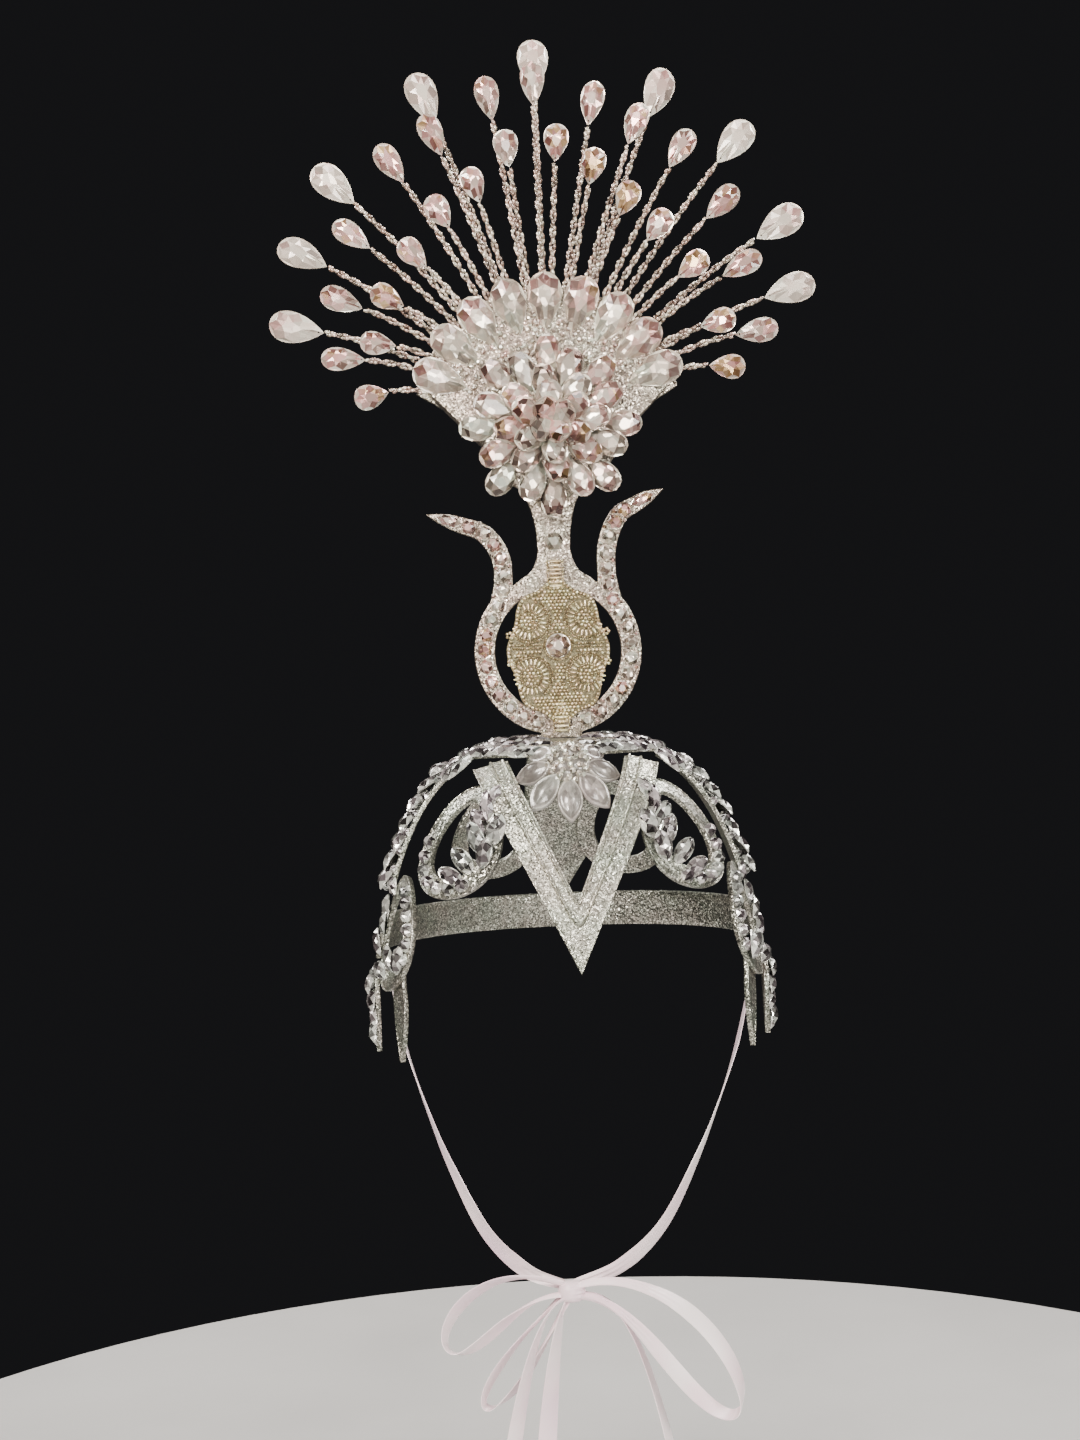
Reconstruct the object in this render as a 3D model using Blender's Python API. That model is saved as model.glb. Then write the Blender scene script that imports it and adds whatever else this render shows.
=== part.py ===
# Silver carnival headdress: an open cap of glitter foam scrolls, a lyre-shaped crest, and a fan of beaded
# sprays with teardrop stones, tied under the chin with two satin ribbons.
# Metres, +Z up, the wearer faces -Y. The origin is the top of the wearer's head.
import math

import bpy
from mathutils import Matrix, Vector

# Head form that the cap follows: flat on top, with sides that spread down to its middle and are straight below.
# In plan it is a superellipse of the plan power; its width grows from the crown by the spread and rise powers.
HEAD_HALF_WIDTH = 0.092
HEAD_HALF_DEPTH = 0.102
CROWN_HEIGHT = 0.103
PLAN_POWER = 2.3
SPREAD_POWER = 3.8
RISE_POWER = 1.2

# Glitter foam, glued in layers
FOAM = 0.002
LAYER_GAP = 0.0006
FIRST_LIFT = 0.0005
CLEARANCE = 0.0003

# Crown plate
PLATE_HALF_WIDTH = 0.050
PLATE_HALF_DEPTH = 0.054
PLATE_SEGMENTS = 24

# Front V
V_HALF_WIDTH = 0.0412
V_TOP_DROP = 0.0095
V_TIP_DROP = 0.0962
V_INNER_HALF_WIDTH = 0.0262
V_INNER_TOP_DROP = 0.0060
V_INNER_TIP_DROP = 0.0656
V_RIDGE = 0.0014
V_STRIP_EDGES = (0.09, 0.51)
V_STRIP_CHAMFER = 0.01
V_STEPS = 8
V_STEP_POWER = 1.7

# Scroll loops
BAND = 0.0095
FRONT_LOOP_AZIMUTH = 38.0
FRONT_LOOP_DROP = 0.036
FRONT_LOOP_HALF_WIDTH = 0.0185
FRONT_LOOP_HALF_HEIGHT = 0.0245
SIDE_LOOP_AZIMUTH = 68.0
SIDE_LOOP_DROP = 0.080
SIDE_LOOP_HALF_WIDTH = 0.0240
SIDE_LOOP_HALF_HEIGHT = 0.0235
BACK_LOOP_AZIMUTH = 157.0
BACK_LOOP_DROP = 0.040
LOOP_PINCH = 0.28
LOOP_STEPS = 18

# Arms that come down from the crown plate, and the band round the back
SIDE_ARM_AZIMUTH = 88.0
SIDE_ARM_WIDTH = 0.026
SIDE_ARM_ANCHOR_DROP = 0.024
SIDE_ARM_UP = 0.030
SIDE_ARM_DOWN = 0.044
SIDE_ARM_STEPS = 8
SIDE_ARM_STONE_ROWS = 3
SIDE_ARM_STONE_START = 0.010
SIDE_ARM_STONE_TURN = 14.0
BACK_ARM_WIDTH = 0.032
BACK_ARM_ANCHOR_DROP = 0.030
BACK_ARM_UP = 0.044
BACK_ARM_DOWN = 0.058
BACK_ARM_STEPS = 9
BACK_ARM_POINT_SHARE = 0.30
BACK_BAND_WIDTH = 0.018
BACK_BAND_DROP = 0.086
BACK_BAND_FROM = 83.0
BACK_BAND_STEPS = 18

# Leaves that hang over the ears
LEAF_LENGTH = 0.042
LEAF_WIDTH = 0.015
LEAF_DROP = 0.117
FRONT_LEAF_AZIMUTH = 60.0
REAR_LEAF_AZIMUTH = 82.0

# Cut acrylic stones: width, length and height
LARGE_DROP_WIDTH = 0.017
LARGE_DROP_LENGTH = 0.028
LARGE_DROP_HEIGHT = 0.0062
DROP_WIDTH = 0.013
DROP_LENGTH = 0.022
DROP_HEIGHT = 0.0050
SHORT_DROP_LENGTH = 0.018
PETAL_WIDTH = 0.0125
PETAL_LENGTH = 0.021
PETAL_HEIGHT = 0.0045
NAVETTE_WIDTH = 0.0075
NAVETTE_LENGTH = 0.015
NAVETTE_HEIGHT = 0.0036
ROUND_STONE = 0.0065
ROUND_STONE_HEIGHT = 0.0030
CENTRE_STONE = 0.012
CENTRE_STONE_HEIGHT = 0.0050
TABLE_SHARE = 0.55
GIRDLE_SHARE = 0.3
FLAT_SHARE = 0.8
FRONT_SHARE = 0.6
STONE_SINK = 0.0007

# Crest: where its foot stands on the crown plate
CREST_FRONT = -0.015
CREST_FOAM = 0.003

# Lyre ring with its horns, whose reach and rise differ between the wearer's right and left
RING_HEIGHT = 0.0425
RING_OUTER = 0.0412
RING_INNER = 0.0312
FOOT_HALF_WIDTH = 0.010
OVAL_HALF_WIDTH = 0.0222
OVAL_HALF_HEIGHT = 0.0365
NECK_HALF_WIDTH = 0.0079
NECK_HEIGHT = 0.093
SHOULDER_HALF_WIDTH = 0.021
SHOULDER_HEIGHT = 0.0755
HORN_WIDTH = 0.0092
HORN_ANGLE = 45.0
HORN_REACH = {"left": 0.0295, "right": 0.0365}
HORN_RISE = {"left": 0.0525, "right": 0.0440}
LYRE_STONE_PITCH = 0.0077
LYRE_STONE_END = -78.0
LYRE_CORNER = 8.0
HORN_NAVETTE_START = 0.005
HORN_NAVETTE_LENGTH = 0.013
HORN_NAVETTE_WIDTH = 0.0055

# Beaded medallion on the lyre's middle
MEDALLION_MAT = 0.0016
MEDALLION_GROWTH = 0.0022
MEDALLION_LOBES = 8
MEDALLION_LOBE_SHARE = 0.045
COIL_RADIUS = 0.0088
COIL_RISE = 0.0012
COIL_ACROSS_SHARE = 0.52
COIL_UP_SHARE = 0.46

# Fan that holds the sprays, and the flower on it
FAN_HEIGHT = 0.1565
FAN_RADIUS = 0.066
FAN_HALF_ANGLE = 77.0
CORE_RADIUS = 0.060
CORE_DEPTH = 0.012
RIM_STONES = 9
RIM_HALF_ANGLE = 69.0
RIM_REACH = 0.070
RIM_TILT = 6.0
FLOWER_DROP = 0.0055
FLOWER_BASE_RADIUS = 0.034
FLOWER_BASE_DEPTH = 0.0055
FLOWER_REACH = 0.0445
FLOWER_STEP = 0.0022
FLOWER_TWIST = 3.0

# Beaded sprays. Each row lists its sprays by hand as (degrees to the wearer's right of the fan's axis, share of
# the row's reach); depth is how far behind the fan core's face the feet are, as a share of the core's depth.
STEM = 0.0034
STEM_CURL = 0.04
ROWS = {
    "outer": {
        "reach": 0.178, "depth": 0.82, "lean": -0.08,
        "width": LARGE_DROP_WIDTH, "length": LARGE_DROP_LENGTH, "height": LARGE_DROP_HEIGHT,
        "sprays": (
            (66.5, 0.74), (53, 0.82), (39.5, 0.88), (18.5, 0.96), (0, 1.00), (-20.5, 0.97), (-35.5, 0.94),
            (-51, 0.85), (-62.5, 0.77),
        ),
    },
    "middle": {
        "reach": 0.163, "depth": 0.50, "lean": 0.02,
        "width": DROP_WIDTH, "length": DROP_LENGTH, "height": DROP_HEIGHT,
        "sprays": (
            (70.5, 0.64), (57.5, 0.71), (44.5, 0.80), (29.5, 0.89), (20, 0.91), (8.5, 0.97), (0.5, 1.00),
            (-10, 0.95), (-18.5, 0.92), (-28, 0.90), (-40.5, 0.83), (-53, 0.74), (-68, 0.68),
        ),
    },
    "inner": {
        "reach": 0.131, "depth": 0.175, "lean": 0.13,
        "width": DROP_WIDTH, "length": SHORT_DROP_LENGTH, "height": DROP_HEIGHT,
        "sprays": (
            (79.5, 0.67), (63.5, 0.69), (51, 0.74), (37.5, 0.78), (26, 0.85), (16, 0.89), (7, 0.99),
            (-3.5, 1.00), (-12, 0.93), (-21.5, 0.85), (-31.5, 0.81), (-45, 0.77), (-61.5, 0.72), (-74.5, 0.69),
        ),
    },
}

# Crown flower at the front edge of the crown plate
CROWN_FLOWER_PETALS = 9
CROWN_FLOWER_OVERHANG = 0.007
CROWN_FLOWER_TILT = 62.0
CROWN_FLOWER_DROOP = 10.0
CROWN_FLOWER_HUB = 0.0075
CROWN_FLOWER_HUB_BACK = 0.0035
CROWN_FLOWER_HUB_FRONT = 0.0070
CROWN_FLOWER_FACE_SHARE = 0.6
CROWN_PETAL_START_SHARE = 0.55

# Satin ribbon and its bow
RIBBON_WIDTH = 0.010
RIBBON = 0.001
GATHER = 0.45
GATHER_RATE = 3.0
STRAP_AZIMUTH = 78.0
STRAP_DROP = 0.0985
CHIN_DROP = 0.252
CHIN_FRONT = 0.050
CHIN_SHIFT = -0.008
KNOT_WIDTH = 0.013
KNOT_HEIGHT = 0.010
KNOT_DEPTH = 0.010
BOW_REACH = 0.070
BOW_LOOP_STEPS = 12
BOW_START_SHARE = 0.030
TAIL_LENGTH = 0.085
BOW_TAIL_STEPS = 6


def clear_scene():
    for leftover in list(bpy.data.objects):
        bpy.data.objects.remove(leftover)


def finish(name, colour, roughness, metallic=0.0):
    material = bpy.data.materials.new(name)
    material.use_nodes = True
    shader = material.node_tree.nodes["Principled BSDF"]
    shader.inputs["Base Color"].default_value = (*colour, 1.0)
    shader.inputs["Roughness"].default_value = roughness
    shader.inputs["Metallic"].default_value = metallic
    return material


def add_mesh(name, points, faces, material, parent=None):
    mesh = bpy.data.meshes.new(name)
    mesh.from_pydata([tuple(point) for point in points], [], faces)
    mesh.materials.append(material)
    made = bpy.data.objects.new(name, mesh)
    bpy.context.scene.collection.objects.link(made)
    made.parent = parent
    return made


def loft(name, rings, material, closed=False, parent=None, split=False):
    """One closed body through rings of equally many points, turned the same way round. A twisted one is split into
    triangles, so that a Boolean meets no bent faces."""
    count = len(rings[0])
    points = [point for ring in rings for point in ring]
    faces = []
    for index in range(len(rings) if closed else len(rings) - 1):
        here = index * count
        there = (index + 1) % len(rings) * count
        for side in range(count):
            after = (side + 1) % count
            if split:
                faces += [(here + side, here + after, there + after), (here + side, there + after, there + side)]
            else:
                faces.append((here + side, here + after, there + after, there + side))
    if not closed:
        faces.append(tuple(reversed(range(count))))
        faces.append(tuple(range(len(points) - count, len(points))))
    return face_outwards(add_mesh(name, points, faces, material, parent))


def face_outwards(made):
    """Turns a closed mesh's faces to point out, by the sign of its volume."""
    mesh = made.data
    mesh.calc_loop_triangles()
    volume = 0.0
    for triangle in mesh.loop_triangles:
        a, b, c = (mesh.vertices[index].co for index in triangle.vertices)
        volume += a.dot(b.cross(c))
    if volume < 0:
        mesh.flip_normals()
    return made


def extrude_outline(name, outlines, near, far, material, parent=None):
    """A flat board in the XZ plane from y = near to y = far. The first outline is its edge, the others are holes."""
    curve = bpy.data.curves.new(name, "CURVE")
    curve.dimensions = "2D"
    curve.fill_mode = "BOTH"
    curve.extrude = (far - near) / 2
    for outline in outlines:
        spline = curve.splines.new("POLY")
        spline.points.add(len(outline) - 1)
        for point, (across, up) in zip(spline.points, outline):
            point.co = (across, up, 0, 1)
        spline.use_cyclic_u = True
    holder = bpy.data.objects.new(name + "_outline", curve)
    bpy.context.scene.collection.objects.link(holder)
    flat = bpy.data.meshes.new_from_object(holder.evaluated_get(bpy.context.evaluated_depsgraph_get()))
    bpy.data.objects.remove(holder)
    places = [(point.co.x, (near + far) / 2 - point.co.z, point.co.y) for point in flat.vertices]
    seen = {}
    merged = []
    index_of = []
    for place in places:
        key = tuple(round(value, 7) for value in place)
        if key not in seen:
            seen[key] = len(merged)
            merged.append(place)
        index_of.append(seen[key])
    faces = [tuple(index_of[corner] for corner in polygon.vertices) for polygon in flat.polygons]
    faces = [face for face in faces if len(set(face)) == len(face)]
    bpy.data.meshes.remove(flat)
    return face_outwards(add_mesh(name, merged, faces, material, parent))


def fuse(made, helpers, singly=False):
    """Joins helper bodies to a piece with a Boolean union, all at once or one by one where they cross each other,
    and keeps the helpers out of the model."""
    group = bpy.data.collections.new(made.name + "_helpers")
    bpy.context.scene.collection.children.link(group)
    group.hide_render = True
    for helper in helpers:
        for holder in list(helper.users_collection):
            holder.objects.unlink(helper)
        group.objects.link(helper)
        helper.parent = made.parent
        helper.hide_render = True
        helper.display_type = "WIRE"
    for helper in helpers if singly else [group]:
        union = made.modifiers.new("Joined", "BOOLEAN")
        union.operation = "UNION"
        union.solver = "EXACT"
        if singly:
            union.object = helper
        else:
            union.operand_type = "COLLECTION"
            union.collection = group
    return made


def layer(number):
    """Lift of the underside of a foam layer above the head form; layer 0 touches the head."""
    return FIRST_LIFT + number * (FOAM + LAYER_GAP)


def plan_share(x, y):
    """How far out a place is in plan, as a share of the form's half sizes."""
    total = (abs(x) / HEAD_HALF_WIDTH) ** PLAN_POWER + (abs(y) / HEAD_HALF_DEPTH) ** PLAN_POWER
    return total ** (1 / PLAN_POWER)


def level_share(drop):
    """The form's half size at a drop below the crown, as a share of its full half size."""
    height = max(CROWN_HEIGHT - drop, 0.0) / CROWN_HEIGHT
    return (1 - height ** RISE_POWER) ** (1 / SPREAD_POWER)


def form_point(direction, lift):
    """Where a ray from the form's middle meets the form, raised along its normal. Found by halving the range."""
    ray = Vector(direction)
    spread = plan_share(ray.x, ray.y)
    rise = max(ray.z, 0.0) / CROWN_HEIGHT
    low = 0.0
    high = 1 / max(spread, rise)
    for _ in range(40):
        reach = (low + high) / 2
        if (spread * reach) ** SPREAD_POWER + (rise * reach) ** RISE_POWER > 1:
            high = reach
        else:
            low = reach
    point = ray * high
    share = max(plan_share(point.x, point.y), 1e-6)
    steep = SPREAD_POWER * share ** (SPREAD_POWER - PLAN_POWER)
    level = max(point.z, 0.0) / CROWN_HEIGHT
    normal = Vector((
        math.copysign(steep * (abs(point.x) / HEAD_HALF_WIDTH) ** (PLAN_POWER - 1) / HEAD_HALF_WIDTH, point.x),
        math.copysign(steep * (abs(point.y) / HEAD_HALF_DEPTH) ** (PLAN_POWER - 1) / HEAD_HALF_DEPTH, point.y),
        RISE_POWER * level ** (RISE_POWER - 1) / CROWN_HEIGHT,
    ))
    return point + normal.normalized() * lift - Vector((0, 0, CROWN_HEIGHT))


def form_normal(direction):
    return (form_point(direction, 0.01) - form_point(direction, 0.0)).normalized()


def front_point(across, drop, lift):
    """The point of the head form's front at a sideways place and a drop below the crown."""
    rest = level_share(drop) ** PLAN_POWER - (abs(across) / HEAD_HALF_WIDTH) ** PLAN_POWER
    depth = -HEAD_HALF_DEPTH * max(rest, 0.0) ** (1 / PLAN_POWER)
    return form_point((across, depth, CROWN_HEIGHT - drop), lift)


class Sheet:
    """A flat sheet that touches the head form at an azimuth and a drop, and is pressed onto it from there."""

    def __init__(self, azimuth, drop):
        turn = math.radians(azimuth)
        reach = level_share(drop) / plan_share(math.sin(turn), math.cos(turn))
        self.anchor = Vector((reach * math.sin(turn), -reach * math.cos(turn), CROWN_HEIGHT - drop))
        normal = form_normal(self.anchor)
        self.east = Vector((math.cos(turn), math.sin(turn), 0))
        self.east = (self.east - normal * self.east.dot(normal)).normalized()
        self.north = normal.cross(self.east).normalized()
        if self.north.z < 0:
            self.north.negate()

    def direction(self, across, up):
        return self.anchor + self.east * across + self.north * up

    def point(self, across, up, lift):
        return form_point(self.direction(across, up), lift)

    def stone_place(self, across, up, heading, lift):
        """Matrix of a stone that lies on the sheet, with its point at the place and its length along the heading."""
        direction = self.direction(across, up)
        normal = form_normal(direction)
        step = 0.001
        turn = math.radians(heading)
        onward = self.point(across + step * math.cos(turn), up + step * math.sin(turn), 0)
        along = onward - self.point(across, up, 0)
        return place(self.point(across, up, lift), along, normal)


def place(origin, along, normal):
    """Matrix with X along the given line, Z as near to the normal as it can be, and Y across."""
    x = Vector(along).normalized()
    y = Vector(normal).cross(x).normalized()
    z = x.cross(y)
    return Matrix((
        (x.x, y.x, z.x, origin[0]),
        (x.y, y.y, z.y, origin[1]),
        (x.z, y.z, z.z, origin[2]),
        (0, 0, 0, 1),
    ))


def band_rings(sheet, line, widths, lifts, closed, columns=1):
    """Rings of a foam strip that follows a line of (across, up) places on a sheet, with a width and a lift each."""
    rings = []
    count = len(line)
    for index, (across, up) in enumerate(line):
        before = line[index - 1] if closed or index else line[0]
        after = line[(index + 1) % count] if closed or index < count - 1 else line[-1]
        along = Vector((after[0] - before[0], after[1] - before[1])).normalized()
        side = Vector((-along.y, along.x)) * widths[index] / 2
        shares = [1 - 2 * column / columns for column in range(columns + 1)]
        lower = [sheet.point(across + side.x * s, up + side.y * s, lifts[index]) for s in shares]
        upper = [sheet.point(across + side.x * s, up + side.y * s, lifts[index] + FOAM) for s in shares]
        rings.append(lower + upper[::-1])
    return rings


# Outlines of stones, tip first, as shares of their length and width
PEAR = ((0, 0), (0.30, 0.31), (0.62, 0.50), (0.88, 0.37), (1, 0), (0.88, -0.37), (0.62, -0.50), (0.30, -0.31))
NAVETTE = ((0, 0), (0.22, 0.33), (0.5, 0.50), (0.78, 0.33), (1, 0), (0.78, -0.33), (0.5, -0.50), (0.22, -0.33))
ROUND = tuple(
    (0.5 + 0.5 * math.cos(math.pi * (0.25 * turn + 0.125)), 0.5 * math.sin(math.pi * (0.25 * turn + 0.125)))
    for turn in range(8)
)


def stone(name, outline, length, width, height, matrix, material, girdle=0.0):
    """A cut stone: eight facets that slope from its edge, or from its girdle, up to a flat table."""
    edge = [(length * along, width * across) for along, across in outline]
    middle = (sum(x for x, y in edge) / len(edge), sum(y for x, y in edge) / len(edge))
    table = [
        (middle[0] + (x - middle[0]) * TABLE_SHARE, middle[1] + (y - middle[1]) * TABLE_SHARE) for x, y in edge
    ]
    rings = [[matrix @ Vector((x, y, 0)) for x, y in edge]]
    if girdle:
        rings.append([matrix @ Vector((x, y, girdle * height)) for x, y in edge])
    rings.append([matrix @ Vector((x, y, height)) for x, y in table])
    return loft(name, rings, material)


def crown_plate(foam):
    """The foam plate on top of the cap, which the arms, the crest's foot and the crown flower are glued to."""
    lift = layer(3)
    levels = {}
    for side, height in (("under", lift), ("over", lift + FOAM)):
        levels[side] = [form_point((0, 0, 1), height)]
        for share in (0.35, 0.7, 1.0):
            for step in range(PLATE_SEGMENTS):
                turn = 2 * math.pi * step / PLATE_SEGMENTS
                across = PLATE_HALF_WIDTH * share * math.cos(turn)
                along = PLATE_HALF_DEPTH * share * math.sin(turn)
                levels[side].append(form_point((across, along, CROWN_HEIGHT), height))
    points = levels["under"] + levels["over"]
    total = len(levels["under"])
    faces = []
    for start, flip in ((0, True), (total, False)):
        for step in range(PLATE_SEGMENTS):
            after = (step + 1) % PLATE_SEGMENTS
            patch = [(start, start + 1 + step, start + 1 + after)]
            for level in range(2):
                inner = start + 1 + level * PLATE_SEGMENTS
                outer = inner + PLATE_SEGMENTS
                patch.append((inner + step, outer + step, outer + after, inner + after))
            faces += [tuple(reversed(face)) if flip else face for face in patch]
    rim = 1 + 2 * PLATE_SEGMENTS
    for step in range(PLATE_SEGMENTS):
        after = (step + 1) % PLATE_SEGMENTS
        faces.append((rim + step, rim + after, total + rim + after, total + rim + step))
    return face_outwards(add_mesh("crown_plate", points, faces, foam))


def front_v(foam):
    """The V over the forehead, with its raised inner strip of a second foam layer."""
    lift = layer(2)
    rings = []
    raised = []
    for index in range(2 * V_STEPS + 1):
        share = index / V_STEPS - 1
        side = -1 if share < 0 else 1
        down = (1 - abs(share)) ** V_STEP_POWER
        edge = (
            side * V_HALF_WIDTH * (1 - down),
            V_TOP_DROP + (V_TIP_DROP - V_TOP_DROP) * down,
        )
        inner = (
            side * V_INNER_HALF_WIDTH * (1 - down),
            V_INNER_TOP_DROP + (V_INNER_TIP_DROP - V_INNER_TOP_DROP) * down,
        )

        def between(part):
            return tuple(i + (e - i) * part for i, e in zip(inner, edge))

        lower = [front_point(*between(part), lift) for part in (0, 0.5, 1)]
        upper = [front_point(*between(part), lift + FOAM) for part in (0, 0.5, 1)]
        rings.append(lower + upper[::-1])
        if 0 < index < 2 * V_STEPS:
            near, far = V_STRIP_EDGES
            foot = (near - V_STRIP_CHAMFER, far + V_STRIP_CHAMFER)
            face = (near + V_STRIP_CHAMFER, far - V_STRIP_CHAMFER)
            sunk = [front_point(*between(part), lift + FOAM / 2) for part in foot]
            top = [front_point(*between(part), lift + FOAM + V_RIDGE) for part in face]
            raised.append(sunk + top[::-1])
    made = loft("front_v", rings, foam)
    return fuse(made, [loft("front_v_strip", raised, foam)])


def loop_place(half_width, half_height, turn):
    """A place (across, up) on an egg-shaped line, narrow at the top, at a turn in radians from the top."""
    pinch = 1 - LOOP_PINCH * math.cos(turn)
    return half_width * math.sin(turn) * pinch, half_height * math.cos(turn)


# Navettes of a loop's leafy spray: where each one's outer point sits on the loop, in degrees from the top
# towards the V, how far in from the loop's line, as a share of the band, and its heading from straight in
LOOP_NAVETTES = (
    {"turn": 48, "inset": 0.1, "heading": 18},
    {"turn": 76, "inset": 0.1, "heading": 24},
    {"turn": 104, "inset": 0.1, "heading": 28},
    {"turn": 132, "inset": 0.1, "heading": 34},
    {"turn": 160, "inset": 0.1, "heading": 38},
)


def scroll_loop(name, azimuth, drop, half_width, half_height, number, side, toward, foam, crystal):
    """One pierced scroll of the cap, with a leafy spray of navettes on the side that toward gives, if any."""
    sheet = Sheet(side * azimuth, drop)
    line = [loop_place(half_width, half_height, 2 * math.pi * step / LOOP_STEPS) for step in range(LOOP_STEPS)]
    lift = layer(number)
    rings = band_rings(sheet, line, [BAND] * LOOP_STEPS, [lift] * LOOP_STEPS, True)
    made = loft(name, rings, foam, closed=True)
    if not toward:
        return made
    stones = []
    for index, row in enumerate(LOOP_NAVETTES):
        across, up = loop_place(half_width, half_height, toward * math.radians(row["turn"]))
        inward = math.degrees(math.atan2(-up, -across)) + toward * row["heading"]
        heading = math.radians(inward)
        inset = BAND * row["inset"]
        matrix = sheet.stone_place(
            across + inset * math.cos(heading), up + inset * math.sin(heading), inward, lift + FOAM - STONE_SINK,
        )
        stones.append(stone(
            f"{name}_navette_{index}", NAVETTE, NAVETTE_LENGTH, NAVETTE_WIDTH, NAVETTE_HEIGHT, matrix, crystal,
        ))
    return fuse(made, stones)


def side_arm(name, side, foam, crystal):
    """The jewelled arm from under the crown plate down onto the side loop, one layer lower."""
    sheet = Sheet(side * SIDE_ARM_AZIMUTH, SIDE_ARM_ANCHOR_DROP)
    length = SIDE_ARM_UP + SIDE_ARM_DOWN
    shares = [step / SIDE_ARM_STEPS for step in range(SIDE_ARM_STEPS + 1)]
    line = [(0, SIDE_ARM_UP - length * share) for share in shares]
    lifts = [layer(2 - share) for share in shares]
    made = loft(name, band_rings(sheet, line, [SIDE_ARM_WIDTH] * len(line), lifts, False, columns=3), foam)
    stones = []
    spread = SIDE_ARM_WIDTH / 4
    for row in range(SIDE_ARM_STONE_ROWS):
        for column in (-1, 1):
            up = SIDE_ARM_STONE_START - SIDE_ARM_DOWN * row / SIDE_ARM_STONE_ROWS
            lift = layer(2 - (SIDE_ARM_UP - up) / length) + FOAM - STONE_SINK
            matrix = sheet.stone_place(column * spread, up, -90 + SIDE_ARM_STONE_TURN * column, lift)
            stones.append(stone(
                f"{name}_navette_{row}_{column}", NAVETTE, NAVETTE_LENGTH, NAVETTE_WIDTH, NAVETTE_HEIGHT,
                matrix, crystal,
            ))
    return fuse(made, stones)


def back_arm(foam):
    """The plain arm down the middle of the back, pointed at its end."""
    sheet = Sheet(180, BACK_ARM_ANCHOR_DROP)
    line = []
    widths = []
    for step in range(BACK_ARM_STEPS + 1):
        share = step / BACK_ARM_STEPS
        line.append((0, BACK_ARM_UP - (BACK_ARM_UP + BACK_ARM_DOWN) * share))
        widths.append(BACK_ARM_WIDTH * min(1, 0.1 + (1 - share) / BACK_ARM_POINT_SHARE))
    return loft("back_arm", band_rings(sheet, line, widths, [layer(2)] * len(line), False, columns=4), foam)


def back_band(foam):
    """The plain band from one side loop, over its rear edge, round the back of the head to the other."""
    rings = []
    for step in range(BACK_BAND_STEPS + 1):
        turn = math.radians(BACK_BAND_FROM + (360 - 2 * BACK_BAND_FROM) * step / BACK_BAND_STEPS)
        rays = []
        for share in (0.5, 0, -0.5):
            drop = BACK_BAND_DROP - BACK_BAND_WIDTH * share
            reach = level_share(drop) / plan_share(math.sin(turn), math.cos(turn))
            rays.append((reach * math.sin(turn), -reach * math.cos(turn), CROWN_HEIGHT - drop))
        lower = [form_point(ray, layer(1)) for ray in rays]
        upper = [form_point(ray, layer(1) + FOAM) for ray in rays]
        rings.append(lower + upper[::-1])
    return loft("back_band", rings, foam)


def leaf(name, azimuth, number, side, foam):
    """A pointed foam leaf that hangs from the lower edge of a side loop."""
    sheet = Sheet(side * azimuth, LEAF_DROP)
    widths = []
    line = []
    for along, width in ((0, 0.62), (0.14, 0.85), (0.32, 1.0), (0.52, 0.92), (0.74, 0.58), (0.92, 0.20), (1, 0.05)):
        line.append((0, LEAF_LENGTH * (0.46 - along)))
        widths.append(LEAF_WIDTH * width)
    return loft(name, band_rings(sheet, line, widths, [layer(number)] * len(line), False, columns=2), foam)


def crown_flower(crystal):
    """Nine navette petals round a hub, tilted over the front edge of the crown plate."""
    tilt = math.radians(CROWN_FLOWER_TILT)
    axis = Vector((0, -math.sin(tilt), math.cos(tilt)))
    right = Vector((1, 0, 0))
    upward = axis.cross(right)
    rim = form_point((0, -PLATE_HALF_DEPTH, CROWN_HEIGHT), layer(3) + FOAM)
    centre = rim + axis * (CROWN_FLOWER_HUB_BACK + CLEARANCE) - upward * CROWN_FLOWER_OVERHANG
    droop = math.radians(CROWN_FLOWER_DROOP)

    def ring(radius, rise):
        return [
            centre + axis * rise
            + (right * math.cos(math.pi * step / 5) + upward * math.sin(math.pi * step / 5)) * radius
            for step in range(10)
        ]

    hub = loft("crown_flower", [
        ring(CROWN_FLOWER_HUB, -CROWN_FLOWER_HUB_BACK), ring(CROWN_FLOWER_HUB, CROWN_FLOWER_HUB_FRONT / 2),
        ring(CROWN_FLOWER_HUB * CROWN_FLOWER_FACE_SHARE, CROWN_FLOWER_HUB_FRONT),
    ], crystal)
    petals = []
    for number in range(CROWN_FLOWER_PETALS):
        turn = -math.pi / 2 + 2 * math.pi * number / CROWN_FLOWER_PETALS
        spoke = right * math.cos(turn) + upward * math.sin(turn)
        along = spoke * math.cos(droop) - axis * math.sin(droop)
        normal = axis * math.cos(droop) + spoke * math.sin(droop)
        matrix = place(centre + spoke * CROWN_FLOWER_HUB * CROWN_PETAL_START_SHARE, along, normal)
        petals.append(stone(
            f"crown_petal_{number}", NAVETTE, PETAL_LENGTH, PETAL_WIDTH, PETAL_HEIGHT, matrix, crystal,
            GIRDLE_SHARE,
        ))
    return fuse(hub, petals)


def arc(centre, radius, start, end, steps):
    """Places on an arc, from a start to an end angle in degrees, anticlockwise from +X."""
    turns = [math.radians(start + (end - start) * step / steps) for step in range(steps + 1)]
    return [(centre[0] + radius * math.cos(turn), centre[1] + radius * math.sin(turn)) for turn in turns]


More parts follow.
